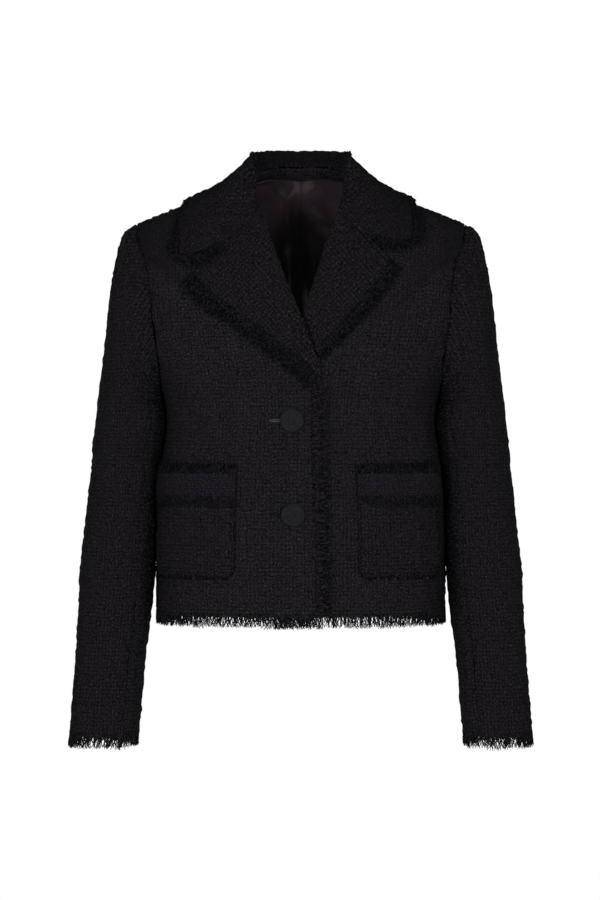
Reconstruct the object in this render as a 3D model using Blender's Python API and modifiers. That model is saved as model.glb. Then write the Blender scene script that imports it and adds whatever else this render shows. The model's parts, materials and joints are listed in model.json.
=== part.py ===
"""A cropped tweed jacket, filled out as worn and hollow, with raw fringed edges and two covered buttons.

Metres, +Z up. The front faces -Y, and the wearer's left is +X. The origin is midway between the side neck
points, where the shoulders carry it. Every piece of cloth is a slab: a grid given a thickness, whose
points are then laid on the body form, the sleeve form or the collar roll.
"""

import math

import bmesh
import bpy
from mathutils import Vector

RIGHT = -1
LEFT = 1

# Cloth
TWEED = 0.0022
DOUBLE_TWEED = 0.0028
FRINGE = 0.0014
LINING = 0.0010
SEAM_GAP = 0.0003

# Steps for slopes of the form, and the stretch over which the shoulder's two faces share a normal
STEP = 0.0005
SIDE_TURN = math.radians(89.0)
RIDGE_SOFT = 0.008

# Body form: half width and depths of the level section at each height
BODY = (
    # height  half_width  front_depth  back_depth
    (-0.560, 0.1700, 0.1210, 0.1160),
    (-0.509, 0.1700, 0.1210, 0.1160),
    (-0.450, 0.1705, 0.1200, 0.1140),
    (-0.400, 0.1695, 0.1190, 0.1110),
    (-0.355, 0.1672, 0.1175, 0.1080),
    (-0.316, 0.1620, 0.1160, 0.1060),
    (-0.285, 0.1580, 0.1165, 0.1070),
    (-0.255, 0.1625, 0.1180, 0.1110),
    (-0.220, 0.1780, 0.1185, 0.1150),
    (-0.170, 0.1960, 0.1160, 0.1170),
    (-0.120, 0.2000, 0.1130, 0.1170),
    (0.060, 0.2000, 0.1130, 0.1170),
)
SECTION_POWER = 2.3
TIP_X = 0.193
TIP_Z = -0.052
SHOULDER_SLOPE = 0.40
NECK_RISE = 0.036
NECK_HALF = 0.075
NECK_ROUND = {-1: 0.160, 1: 0.170}
TIP_ROUND = {-1: 0.050, 1: 0.055}
ROUND_POWER = 1.6
ROUND_LENGTH = 0.200
TOP_HALF_WIDTH = 0.200

HEM_Z = -0.509
UNDERARM_Z = -0.255
FRINGE_DROP = 0.0115
LAP_LIFT = 0.0014
LAP_FLAT = 0.050
LAP_FADE = 0.110
LAP_RISE = 0.050
NECK_SHARE = 0.4
NECK_CLEAR = 0.0042

# Front openings, in each front's own X, which grows from the centre towards its side
FRONT_EDGE = {
    RIGHT: (
        # x      z
        (-0.0150, -0.5090),
        (-0.0205, -0.5050),
        (-0.0225, -0.4950),
        (-0.0200, -0.3800),
        (-0.0172, -0.2900),
        (-0.0175, -0.2480),
    ),
    LEFT: (
        (-0.0300, -0.5090),
        (-0.0300, -0.5050),
        (-0.0300, -0.4950),
        (-0.0300, -0.3800),
        (-0.0300, -0.2900),
        (-0.0285, -0.2480),
    ),
}
ROLL_LINE = {
    RIGHT: (
        (-0.0175, -0.2480),
        (-0.0158, -0.2220),
        (-0.0062, -0.1990),
        (0.0044, -0.1695),
        (0.0215, -0.1265),
        (0.0399, -0.0743),
        (0.0494, -0.0451),
    ),
    LEFT: (
        (-0.0285, -0.2480),
        (-0.0150, -0.2220),
        (-0.0058, -0.1990),
        (0.0046, -0.1695),
        (0.0175, -0.1324),
        (0.0345, -0.0800),
        (0.0470, -0.0451),
    ),
}
LAPEL_EDGE = {
    RIGHT: (
        (-0.0146, -0.2405),
        (-0.0036, -0.2266),
        (0.0158, -0.2101),
        (0.0402, -0.1909),
        (0.0676, -0.1704),
        (0.0897, -0.1549),
        (0.1093, -0.1406),
        (0.1275, -0.1208),
    ),
    LEFT: (
        (0.0180, -0.2062),
        (0.0225, -0.2030),
        (0.0286, -0.1987),
        (0.0492, -0.1768),
        (0.0640, -0.1605),
        (0.0755, -0.1477),
        (0.0977, -0.1177),
        (0.1055, -0.1052),
    ),
}
LAPEL_FOOT = {RIGHT: (-0.0165, -0.2420), LEFT: (0.0058, -0.1655)}
NOTCH = {RIGHT: (0.0861, -0.0829), LEFT: (0.0790, -0.0765)}

# Collar: where the neck seam, the roll and the outer edge lie, from the gorge round to the centre back
COLLAR = {
    # face: -1 front, 1 back; fold_y is the depth of the rolled top
    RIGHT: (
        # face seam_x  seam_z   fold_x   fold_y   fold_z   edge_x  edge_z
        (-1, 0.0550, -0.0430, 0.0449, -0.0690, -0.0451, 0.1436, -0.1012),
        (-1, 0.0640, -0.0220, 0.0530, -0.0430, -0.0150, 0.1420, -0.0700),
        (-1, 0.0735, -0.0060, 0.0550, -0.0080, 0.0240, 0.1340, -0.0370),
        (1, 0.0690, 0.0030, 0.0525, 0.0230, 0.0330, 0.1190, -0.0430),
        (1, 0.0430, 0.0130, 0.0380, 0.0470, 0.0372, 0.0640, -0.0480),
        (1, 0.0000, 0.0180, 0.0000, 0.0600, 0.0385, 0.0000, -0.0500),
    ),
    LEFT: (
        (-1, 0.0525, -0.0430, 0.0425, -0.0690, -0.0451, 0.1301, -0.0840),
        (-1, 0.0625, -0.0220, 0.0510, -0.0430, -0.0150, 0.1335, -0.0610),
        (-1, 0.0735, -0.0060, 0.0540, -0.0080, 0.0240, 0.1290, -0.0350),
        (1, 0.0690, 0.0030, 0.0522, 0.0230, 0.0330, 0.1170, -0.0430),
        (1, 0.0430, 0.0130, 0.0380, 0.0470, 0.0372, 0.0640, -0.0480),
        (1, 0.0000, 0.0180, 0.0000, 0.0600, 0.0385, 0.0000, -0.0500),
    ),
}
ROLL_RADIUS = 0.0021
ROLL_BACK = 0.0018
ROLL_PART = 0.25
LEAF_LEVEL = 0.0044
COLLAR_LEVEL = 0.0056
LEAF_SOFT = 0.0020
GORGE_SHARE = 0.50
GORGE_GAP = 0.0046
GORGE_LEAN = 0.34
STAND_PART = 2.0 / 12.0
ARC_PART = 4.0 / 12.0
STAND_CLEAR = 0.0046
FALL_POWER = 4.5
NOTCH_SHARE = 0.5
NOTCH_FADE = 0.10
TAPE_HALF = 2.0 / 24.0
TAPE_FOOT = 0.25
TAPE_TOP = 0.90
TAPE_CLEAR = 0.0014

# Lining and back neck facing: levels under the back, and their edges as shares of the back
LINING_LEVEL = 0.0075
LINING_CENTRE = 0.0025
LINING_SIDE = 0.985
LINING_HEM = 0.030
LINING_TOP = 0.978
FACING_LEVEL = 0.0046
FACING_FOOT = 0.981
FACING_SHARE = 0.36

# Armhole, from the underarm up to the shoulder tip: height and the depth fraction of the section
ARMHOLE = (
    # height  turn (degrees round from the centre)
    (-0.2550, 90.0),
    (-0.2500, 82.0),
    (-0.2400, 75.5),
    (-0.2250, 69.6),
    (-0.2000, 64.3),
    (-0.1500, 60.5),
    (-0.1200, 62.0),
    (-0.0830, 69.5),
    (-0.0660, 73.0),
)

# Sleeve tube: level sections, from above the shoulder tip to the cuff
SLEEVE = (
    # height  outer_x  centre_x  centre_y  half_depth
    (-0.045, 0.2030, 0.1750, 0.0050, 0.0450),
    (-0.070, 0.2120, 0.1820, 0.0050, 0.0540),
    (-0.095, 0.2180, 0.1860, 0.0050, 0.0620),
    (-0.112, 0.2215, 0.1890, 0.0050, 0.0660),
    (-0.148, 0.2270, 0.1935, 0.0040, 0.0700),
    (-0.200, 0.2320, 0.1990, 0.0030, 0.0720),
    (-0.255, 0.2385, 0.2017, 0.0010, 0.0700),
    (-0.290, 0.2424, 0.2012, -0.0010, 0.0660),
    (-0.320, 0.2455, 0.2047, -0.0030, 0.0620),
    (-0.380, 0.2508, 0.2104, -0.0090, 0.0570),
    (-0.437, 0.2562, 0.2138, -0.0180, 0.0540),
    (-0.496, 0.2595, 0.2163, -0.0270, 0.0510),
    (-0.555, 0.2625, 0.2217, -0.0360, 0.0480),
    (-0.614, 0.2665, 0.2258, -0.0440, 0.0460),
    (-0.657, 0.2692, 0.2291, -0.0490, 0.0450),
    (-0.690, 0.2710, 0.2311, -0.0530, 0.0445),
)
CUFF_Z = -0.648
CUFF_FRINGE_DROP = 0.0125
SLEEVE_SEAM_FRONT = 126.0
SLEEVE_SEAM_BACK = 238.0
CAP_REACH = 0.25
TOP_REACH = 0.020
TOP_TURN = 75.0
CAP_DROP = 1.6
HEAD_PART = 0.40
UNDER_POWER = 1.6
SEAM_TURN = 0.45
HEAD_OUT = 0.0030
HEAD_UP = 0.0006
BICEP_Z = -0.290

# Patch pockets, in the front's own section angle and height
POCKET_TOP = -0.346
POCKET_FOOT = -0.465
POCKET_TURN = {RIGHT: (26.0, 76.0), LEFT: (22.5, 69.0)}
POCKET_CORNER = 0.016
POCKET_STRAIGHT = 0.50
CORNER_CUT = 0.85
POCKET_LEVEL = 0.0006
BAND_DROP = 0.0250
POCKET_FRINGE = 0.0130

# Fringe: how far each strip reaches
LAPEL_FRINGE = {RIGHT: 0.0150, LEFT: 0.0125}
EDGE_FRINGE = 0.0150
COLLAR_FRINGE = 0.0100
FRINGE_LEVEL = 0.0013
COLLAR_FRINGE_RISE = 0.0080
EDGE_METRE = 0.150
CUFF_GAP = 0.30

# Buttons
BUTTON_RADIUS = 0.0136
BUTTON_THICK = 0.0052
BUTTON_RIM = 0.0030
BUTTON_SQUASH = 0.85
BUTTON_GAP = 0.0004
BUTTONS = {"button_upper": (-0.0101, -0.2850), "button_lower": (-0.0088, -0.3925)}

# Finishes: base colour, roughness
TWEED_BLACK = ((0.0115, 0.0100, 0.0125), 0.90)
FRINGE_BLACK = ((0.0090, 0.0085, 0.0100), 0.92)
BAND_BLACK = ((0.0100, 0.0092, 0.0115), 0.85)
SATIN_BLACK = ((0.0095, 0.0070, 0.0090), 0.35)
TAPE_BLACK = ((0.0080, 0.0072, 0.0085), 0.60)
BUTTON_BLACK = ((0.0150, 0.0145, 0.0165), 0.75)


def clear_scene():
    for thing in list(bpy.data.objects):
        bpy.data.objects.remove(thing, do_unlink=True)


def smooth_step(value, low, high):
    part = min(max((value - low) / (high - low), 0.0), 1.0)
    return part * part * (3.0 - 2.0 * part)


def along(table, at):
    """Every later column of a table at a value of its first one, by a smooth cubic through the rows."""
    keys = [row[0] for row in table]
    down = keys[0] > keys[-1]
    if down:
        table = table[::-1]
        keys = keys[::-1]
    at = min(max(at, keys[0]), keys[-1])
    low = max(index for index in range(len(keys) - 1) if keys[index] <= at)
    high = low + 1
    span = keys[high] - keys[low]
    part = (at - keys[low]) / span
    values = []
    for column in range(1, len(table[0])):
        rate_low = slope(table, keys, low, column) * span
        rate_high = slope(table, keys, high, column) * span
        start = table[low][column]
        end = table[high][column]
        values.append(hermite(start, rate_low, end, rate_high, part))
    return values


def slope(table, keys, index, column):
    before = max(index - 1, 0)
    after = min(index + 1, len(keys) - 1)
    return (table[after][column] - table[before][column]) / (keys[after] - keys[before])


def hermite(start, rate_start, end, rate_end, part):
    square = part * part
    cube = square * part
    return (
        start * (2 * cube - 3 * square + 1)
        + rate_start * (cube - 2 * square + part)
        + end * (3 * square - 2 * cube)
        + rate_end * (cube - square)
    )


# The body form: a turn round from the centre, in radians, and a reach below the shoulder ridge


def ridge_z(turn):
    x = abs(TOP_HALF_WIDTH * math.sin(turn))
    run = x if x > NECK_HALF else (x * x / NECK_HALF + NECK_HALF) / 2.0
    z = TIP_Z + SHOULDER_SLOPE * (TIP_X - run)
    inner = max(1.0 - (x / NECK_HALF) ** 2, 0.0)
    return z + NECK_RISE * inner * inner


def rounding_at(turn, face):
    """How far below the ridge the shoulder has rounded into the chest or the back."""
    x = abs(TOP_HALF_WIDTH * math.sin(turn))
    out = smooth_step(x, NECK_HALF, TIP_X)
    return NECK_ROUND[face] + (TIP_ROUND[face] - NECK_ROUND[face]) * out


def body_point(turn, reach):
    """The outer face: reach is 0 on the shoulder ridge, less down the front and more down the back."""
    front = reach <= 0.0
    rounding = rounding_at(turn, -1 if front else 1)
    top = ridge_z(turn)
    down = abs(reach)
    if down < ROUND_LENGTH:
        swing = math.radians(90.0) * down / ROUND_LENGTH
        z = top - rounding * (1.0 - math.cos(swing) ** (2.0 / ROUND_POWER))
        swell = math.sin(swing) ** (2.0 / ROUND_POWER)
    else:
        z = top - rounding - (down - ROUND_LENGTH)
        swell = 1.0
    half_width, front_depth, back_depth = along(BODY, z)
    depth = -front_depth if front else back_depth
    side = math.sin(turn)
    fullness = max(1.0 - abs(side) ** SECTION_POWER, 0.0) ** (1.0 / SECTION_POWER)
    return Vector((half_width * side, depth * fullness * swell, z))


def face_normal(turn, reach):
    """The outward normal of one face of the form, away from the shoulder ridge."""
    near = max(min(turn, SIDE_TURN), -SIDE_TURN)
    across = body_point(near + STEP, reach) - body_point(near - STEP, reach)
    down = body_point(near, reach + STEP) - body_point(near, reach - STEP)
    return across.cross(down).normalized()


def body_normal(turn, reach):
    """The outward normal, shared by front and back along the shoulder ridge."""
    face = -1.0 if reach <= 0.0 else 1.0
    own = face_normal(turn, face * max(abs(reach), RIDGE_SOFT / 2.0))
    if abs(reach) >= RIDGE_SOFT:
        return own
    ridge = face_normal(turn, -RIDGE_SOFT / 2.0) + face_normal(turn, RIDGE_SOFT / 2.0)
    return ridge.normalized().lerp(own, abs(reach) / RIDGE_SOFT).normalized()


def ridge_height(turn, face):
    """The unrolled height of the shoulder ridge."""
    rounding = rounding_at(turn, face)
    return ridge_z(turn) - rounding + ROUND_LENGTH


def chart(x, z, face):
    """The (turn, unrolled height) of the form's point at this x and height; face is -1 front, 1 back."""
    half_width = along(BODY, z)[0]
    turn = math.asin(max(min(x / half_width, 1.0), -1.0))
    rounding = rounding_at(turn, face)
    drop = ridge_z(turn) - z
    if drop >= rounding:
        return turn, z
    level = min(1.0 - max(drop, 0.0) / rounding, 1.0)
    swing = math.acos(level ** (ROUND_POWER / 2.0))
    return turn, ridge_height(turn, face) - ROUND_LENGTH * swing / math.radians(90.0)


def reach_of(turn, height, face):
    return face * max(ridge_height(turn, face) - height, 0.0)


def lap_level(x):
    """How far the right front moves out, and the left one in, where the two lap."""
    return LAP_LIFT * (1.0 - smooth_step(abs(x), LAP_FLAT, LAP_FADE))


def laid(side, turn, reach, level):
    """A point at a level above one side's form. Its turn grows towards that side."""
    point = body_point(turn, reach)
    lift = -side * lap_level(point.x) * smooth_step(-reach, 0.0, LAP_RISE)
    point = point + body_normal(turn, reach) * (level + lift)
    point.x *= side
    return point


def blend(first, second, part):
    return tuple(a + (b - a) * part for a, b in zip(first, second))


def mean_keys(points):
    """Fractions of the length of a line of points, one for each point."""
    lengths = [0.0]
    for before, after in zip(points, points[1:]):
        lengths.append(lengths[-1] + math.dist(before, after))
    return [length / lengths[-1] for length in lengths]


def through(keys, points, part):
    """The point at a fraction of a line, by a smooth cubic through its points."""
    return along([(key, *point) for key, point in zip(keys, points)], part)


def armhole(share, face):
    """The armhole edge in the chart, from the underarm (0) to the shoulder tip (1)."""
    tip_turn = math.asin(TIP_X / TOP_HALF_WIDTH)
    points = []
    for z, turn in ARMHOLE:
        x = along(BODY, z)[0] * math.sin(math.radians(turn))
        points.append(chart(x, z, face))
    points.append((tip_turn, ridge_height(tip_turn, face)))
    lengths = mean_keys([(turn * TOP_HALF_WIDTH / 2.0, height) for turn, height in points])
    return tuple(through(lengths, points, share))


# Slabs


def slab(name, across, down, place, finish, collection):
    """A closed slab of across by down faces, laid by place(u, v, depth); depth runs 0 to 1 inward."""
    form = bmesh.new()
    bmesh.ops.create_grid(form, x_segments=across, y_segments=down, size=0.5)
    bmesh.ops.solidify(form, geom=form.faces[:], thickness=1.0)
    for vertex in form.verts:
        u = min(max(vertex.co.x + 0.5, 0.0), 1.0)
        v = min(max(vertex.co.y + 0.5, 0.0), 1.0)
        vertex.co = place(u, v, -vertex.co.z)
    if form.calc_volume(signed=True) < 0.0:
        bmesh.ops.reverse_faces(form, faces=form.faces[:])
    mesh = bpy.data.meshes.new(name)
    form.to_mesh(mesh)
    form.free()
    mesh.materials.append(finish)
    piece = bpy.data.objects.new(name, mesh)
    collection.objects.link(piece)
    return piece


def thick(middle, u, v, depth, thickness, outward, spill=0.0):
    """A point of a sheet with this middle surface; outward is 1 or -1, the side its outer face lies on.

    spill is how far the surface goes on past the sheet's two side edges.
    """
    step = 0.002
    low_u, high_u = max(u - step, -spill), min(u + step, 1.0 + spill)
    low_v, high_v = max(v - step, 0.0), min(v + step, 1.0)
    along_u = middle(high_u, v) - middle(low_u, v)
    along_v = middle(u, high_v) - middle(u, low_v)
    normal = along_u.cross(along_v).normalized() * outward
    return middle(u, v) + normal * thickness * (0.5 - depth)


def finish_of(name, look):
    colour, roughness = look
    finish = bpy.data.materials.new(name)
    finish.use_nodes = True
    shader = finish.node_tree.nodes["Principled BSDF"]
    shader.inputs["Base Color"].default_value = (*colour, 1.0)
    shader.inputs["Roughness"].default_value = roughness
    shader.inputs["Metallic"].default_value = 0.0
    return finish


def side_name(side):
    return "right" if side == RIGHT else "left"


# Fronts


def front_chart(side, u, v):
    """A front's chart point: u from its inner edge to its side, v from the hem to the shoulder seam."""
    edge = list(FRONT_EDGE[side]) + list(ROLL_LINE[side][1:])
    edge += [(row[1] + NECK_CLEAR, row[2]) for row in COLLAR[side][0:2]]
    keys = mean_keys(edge + [(NECK_HALF, 0.0)])
    shoulder_turn = math.asin(NECK_HALF / TOP_HALF_WIDTH)
    inner = [chart(x, z, -1) for x, z in edge]
    inner.append((shoulder_turn, ridge_height(shoulder_turn, -1)))
    below = len(FRONT_EDGE[side])
    outer = []
    for index, (_x, z) in enumerate(edge + [(NECK_HALF, 0.0)]):
        if index < below:
            drop = (z - HEM_Z) / (edge[below - 1][1] - HEM_Z)
            outer.append((math.radians(90.0), HEM_Z + drop * (UNDERARM_Z - HEM_Z)))
        else:
            share = (keys[index] - keys[below - 1]) / (1.0 - keys[below - 1])
            outer.append(armhole(share, -1))
    start = through(keys, inner, v)
    end = through(keys, outer, v)
    turn, height = blend(start, end, u)
    top_turn = inner[-1][0] + (outer[-1][0] - inner[-1][0]) * u
    level_top = inner[-1][1] + (outer[-1][1] - inner[-1][1]) * u
    height += (ridge_height(top_turn, -1) - level_top) * v**6
    return turn, height


def make_front(side, finish, collection):
    def place(u, v, depth):
        turn, height = front_chart(side, u, v)
        point = laid(side, turn, reach_of(turn, height, -1), -TWEED * depth)
        point.y -= SEAM_GAP / 2.0
        return point

    return slab("front_" + side_name(side), 10, 18, place, finish, collection)


# Back and its lining


def back_chart(share, v):
    """The back's chart point on one half: share from the centre to the side, v from hem to top."""
    neck = [(row[1], row[2]) for row in COLLAR[LEFT][:2:-1]]
    neck = [chart(x, z, 1) for x, z in neck]
    neck_turn = math.asin(NECK_HALF / TOP_HALF_WIDTH)
    neck.append((neck_turn, ridge_height(neck_turn, 1)))
    tip_turn = armhole(1.0, 1)[0]
    below = (UNDERARM_Z - HEM_Z) / (neck[0][1] - HEM_Z)
    if v <= below:
        end = (math.radians(90.0), HEM_Z + (UNDERARM_Z - HEM_Z) * v / below)
    else:
        end = armhole((v - below) / (1.0 - below), 1)
    start = (0.0, HEM_Z + (neck[0][1] - HEM_Z) * v)
    turn, height = blend(start, end, share)
    if share <= NECK_SHARE:
        top = through(mean_keys(neck), neck, share / NECK_SHARE)
    else:
        top_turn = neck_turn + (tip_turn - neck_turn) * (share - NECK_SHARE) / (1.0 - NECK_SHARE)
        top = (top_turn, ridge_height(top_turn, 1))
    flat_top = blend(neck[0], armhole(1.0, 1), share)
    turn += (top[0] - flat_top[0]) * v**4
    height += (top[1] - flat_top[1]) * v**4
    return turn, height


def back_point(signed, v, level):
    side = RIGHT if signed < 0.0 else LEFT
    turn, height = back_chart(abs(signed), v)
    return laid(side, turn, reach_of(turn, height, 1), level)


def make_back(finish, collection):
    def place(u, v, depth):
        point = back_point(2.0 * u - 1.0, v, -TWEED * depth)
        point.y += SEAM_GAP / 2.0
        return point

    return slab("back", 20, 13, place, finish, collection)


def make_lining(side, finish, collection):
    def place(u, v, depth):
        share = LINING_CENTRE + (LINING_SIDE - LINING_CENTRE) * u
        rise = LINING_HEM + (LINING_TOP - LINING_HEM) * v
        return back_point(side * share, rise, -LINING_LEVEL - LINING * depth)

    return slab("lining_back_" + side_name(side), 8, 9, place, finish, collection)


def make_neck_facing(finish, collection):
    def place(u, v, depth):
        signed = FACING_SHARE * (2.0 * u - 1.0)
        rise = FACING_FOOT + (0.9985 - FACING_FOOT) * v
        return back_point(signed, rise, -FACING_LEVEL - LINING * depth)

    return slab("back_neck_facing", 8, 1, place, finish, collection)


# Lapels


def lapel_front_view(side, share, v):
    """A lapel leaf's (x, z): share from the roll to the outer edge, v from its foot to the gorge."""
    foot_z = LAPEL_FOOT[side][1]
    roll = [LAPEL_FOOT[side]] + [row for row in ROLL_LINE[side] if row[1] > foot_z + 0.004]
    edge = LAPEL_EDGE[side]
    start = through(mean_keys(roll), roll, v)
    end = through(mean_keys(edge), edge, v)
    x, z = blend(start, end, share)
    corner = edge[-1]
    if share < GORGE_SHARE:
        top = blend(roll[-1], NOTCH[side], share / GORGE_SHARE)
    else:
        top = blend(NOTCH[side], corner, (share - GORGE_SHARE) / (1.0 - GORGE_SHARE))
    flat_top = blend(roll[-1], corner, share)
    x += (top[0] - flat_top[0] - GORGE_GAP * GORGE_LEAN * (1.0 - share)) * v**5
    z += (top[1] - flat_top[1] - GORGE_GAP) * v**5
    return x, z


def front_laid(side, x, z, level):
    turn, height = chart(x, z, -1)
    return laid(side, turn, reach_of(turn, height, -1), level)


def roll_frame(side, start, onward):
    """The base point, the direction out along the leaf and the normal where a leaf rolls back."""
    base = front_laid(side, *start, 0.0)
    outward = (front_laid(side, *onward, 0.0) - base).normalized()
    normal = (front_laid(side, *start, 0.001) - base).normalized()
    return base, outward, normal


def roll_arc(base, outward, normal, angle):
    middle = (LEAF_LEVEL - TWEED / 2.0) / 2.0
    radius = (LEAF_LEVEL + TWEED / 2.0) / 2.0
    back = ROLL_BACK + radius * math.cos(angle)
    return base - outward * back + normal * (middle + radius * math.sin(angle))


def lapel_middle(side, u, v):
    if u < ROLL_PART:
        start = lapel_front_view(side, 0.0, v)
        onward = lapel_front_view(side, 0.03, v)
        frame = roll_frame(side, start, onward)
        return roll_arc(*frame, math.radians(90.0) * (2.0 * u / ROLL_PART - 1.0))
    share = (u - ROLL_PART) / (1.0 - ROLL_PART)
    x, z = lapel_front_view(side, share, v)
    soft = LEAF_SOFT * math.sin(math.pi * min(share * 1.25, 1.0))
    point = front_laid(side, x, z, LEAF_LEVEL + soft * math.sin(math.pi * min(v * 1.1, 1.0)) ** 2)
    start = lapel_front_view(side, 0.0, v)
    onward = lapel_front_view(side, 0.03, v)
    base, outward, _normal = roll_frame(side, start, onward)
    return point - outward * ROLL_BACK * (1.0 - share) ** 4


def make_lapel(side, finish, collection):
    def place(u, v, depth):
        return thick(lambda a, b: lapel_middle(side, a, b), u, v, depth, DOUBLE_TWEED, side)

    return slab("lapel_" + side_name(side), 8, 11, place, finish, collection)


# Collar


def collar_rows():
    """The collar's rows as signed values from the right gorge, round the back, to the left gorge."""
    rows = []
    for side in (RIGHT, LEFT):
        side_rows = []
        for index, row in enumerate(COLLAR[side]):
            face, seam_x, seam_z, fold_x, fold_y, fold_z, edge_x, edge_z = row
            seam_turn, seam_height = chart(seam_x, seam_z, face)
            edge_turn, edge_height = chart(edge_x, edge_z, face)
            fold = (side * fold_x, fold_y, fold_z)
            if index == 0:
                frame = roll_frame(side, ROLL_LINE[side][-1], (seam_x, seam_z))
                fold = tuple(roll_arc(*frame, 0.0))
            side_rows.append(
                (
                    side * seam_turn,
                    reach_of(seam_turn, seam_height, face),
                    *fold,
                    side * edge_turn,
                    reach_of(edge_turn, edge_height, face),
                )
            )
        rows.append(side_rows)
    return rows[0] + rows[1][-2::-1]


def signed_laid(turn, reach, level):
    side = RIGHT if turn < 0.0 else LEFT
    return laid(side, abs(turn), reach, level)


class Collar:
    """The collar's rolled surface: u from the right gorge to the left, v from neck seam to edge."""

    def __init__(self):
        self.rows = collar_rows()
        self.keys = [index / (len(self.rows) - 1) for index in range(len(self.rows))]
        self.notch = {}
        for side in (RIGHT, LEFT):
            turn, height = chart(*NOTCH[side], -1)
            self.notch[side] = (side * turn, reach_of(turn, height, -1))

    def row(self, u):
        return through(self.keys, self.rows, u)

    def leaf_chart(self, u, share):
        values = self.row(u)
        turn, reach = blend(values[0:2], values[5:7], share)
        side = RIGHT if u < 0.5 else LEFT
        near = max(1.0 - min(u, 1.0 - u) / NOTCH_FADE, 0.0)
        middle = blend(values[0:2], values[5:7], NOTCH_SHARE)
        bend = share / NOTCH_SHARE if share < NOTCH_SHARE else (1.0 - share) / (1.0 - NOTCH_SHARE)
        turn += (self.notch[side][0] - middle[0]) * bend * near**2
        reach += (self.notch[side][1] - middle[1]) * bend * near**2
        return turn, reach

    def frame(self, u):
        """Seam point, fold point, and the two directions of the roll's section."""
        values = self.row(u)
        seam = signed_laid(values[0], values[1], 0.0)
        fold = Vector(values[2:5])
        ahead = Vector(self.row(min(u + 0.01, 1.0))[2:5])
        behind = Vector(self.row(max(u - 0.01, 0.0))[2:5])
        inward = (seam - fold).normalized()
        outward = (ahead - behind).cross(inward).normalized()
        normal = signed_laid(values[0], values[1], 0.001) - seam
        if outward.dot(normal) < 0.0:
            outward = -outward
        return seam, fold, inward, outward, normal.normalized()

    def middle(self, u, v):
        seam, fold, inward, outward, normal = self.frame(u)
        top = fold + inward * ROLL_RADIUS
        if v <= STAND_PART:
            foot = seam - self.away(u) * STAND_CLEAR + normal * SEAM_GAP
            share = v / STAND_PART
            return foot.lerp(top - outward * ROLL_RADIUS, share)
        if v <= STAND_PART + ARC_PART:
            angle = math.radians(180.0) * (v - STAND_PART) / ARC_PART
            swing = -inward * math.sin(angle) - outward * math.cos(angle)
            return top + swing * ROLL_RADIUS
        share = (v - STAND_PART - ARC_PART) / (1.0 - STAND_PART - ARC_PART)
        turn, reach = self.leaf_chart(u, share)
        start = self.leaf_chart(u, 0.0)
        over = top + outward * ROLL_RADIUS - signed_laid(*start, COLLAR_LEVEL)
        return signed_laid(turn, reach, COLLAR_LEVEL) + over * (1.0 - share) ** FALL_POWER

    def away(self, u):
        """The direction along the cloth from the neck seam towards the collar's edge."""
        start = signed_laid(*self.leaf_chart(u, 0.0), 0.0)
        onward = signed_laid(*self.leaf_chart(u, 0.06), 0.0)
        return (onward - start).normalized()


def make_collar(form, finish, collection):
    def place(u, v, depth):
        return thick(form.middle, u, v, depth, DOUBLE_TWEED, 1)

    return slab("collar", 24, 12, place, finish, collection)


def make_neck_tape(form, finish, collection):
    def place(u, v, depth):
        row = 0.5 + TAPE_HALF * (2.0 * u - 1.0)
        rise = STAND_PART * (TAPE_FOOT + (TAPE_TOP - TAPE_FOOT) * v)
        _seam, _fold, _inward, outward, _normal = form.frame(row)
        level = DOUBLE_TWEED / 2.0 + TAPE_CLEAR + LINING * (1.0 - depth)
        return form.middle(row, rise) - outward * level

    return slab("neck_tape", 4, 1, place, finish, collection)


# Sleeves


class Sleeve:
    """One sleeve's outer face: angle 0 outward, 90 front, 180 underarm, and v from head to cuff."""

    def __init__(self, side):
        self.side = side

    def head(self, angle):
        """A point of the armhole seam, just clear of the body."""
        angle = angle % 360.0
        face = -1 if angle <= 180.0 else 1
        share = (1.0 - min(angle, 360.0 - angle) / 180.0) ** UNDER_POWER
        turn, height = armhole(share, face)
        reach = reach_of(turn, height, face)
        point = laid(LEFT, turn, reach, 0.0)
        normal = laid(LEFT, turn, reach, 0.001) - point
        outward = Vector((1.0, 0.0, 0.0)) - normal.normalized() * normal.normalized().x
        return point + normal.normalized() * HEAD_UP + outward.normalized() * HEAD_OUT

    def tube(self, angle, z):
        outer, centre_x, centre_y, half_depth = along(SLEEVE, z)
        half_width = outer - centre_x
        swing = math.radians(angle)
        x = centre_x + half_width * math.cos(swing)
        return Vector((x, centre_y - half_depth * math.sin(swing), z))

    def point(self, angle, v):
        head = self.head(angle)
        if v < HEAD_PART:
            bend = (v / HEAD_PART) ** CAP_DROP
            drop = HEAD_PART * bend
            level = head.z + (BICEP_Z - head.z) * bend
        else:
            drop = v
            level = BICEP_Z + (CUFF_Z - BICEP_Z) * (v - HEAD_PART) / (1.0 - HEAD_PART)
        tube = self.tube(angle, level)
        around = min(angle % 360.0, 360.0 - angle % 360.0)
        reach = TOP_REACH + (CAP_REACH - TOP_REACH) * smooth_step(around, 0.0, TOP_TURN)
        rise = 1.0 - max(1.0 - drop / reach, 0.0) ** 2.5
        point = head.lerp(tube, min(rise, 1.0))
        point.z = level
        return self.mirrored(point)

    def mirrored(self, point):
        return Vector((point.x * self.side, point.y, point.z))


def make_sleeve_piece(name, sleeve, low, high, across, finish, collection):
    def middle(u, v):
        return sleeve.point(low + (high - low) * u, v)

    def place(u, v, depth):
        return thick(middle, u, v, 0.5 + depth, TWEED, sleeve.side, spill=0.01)

    return slab(name, across, 13, place, finish, collection)


# Pockets


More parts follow.
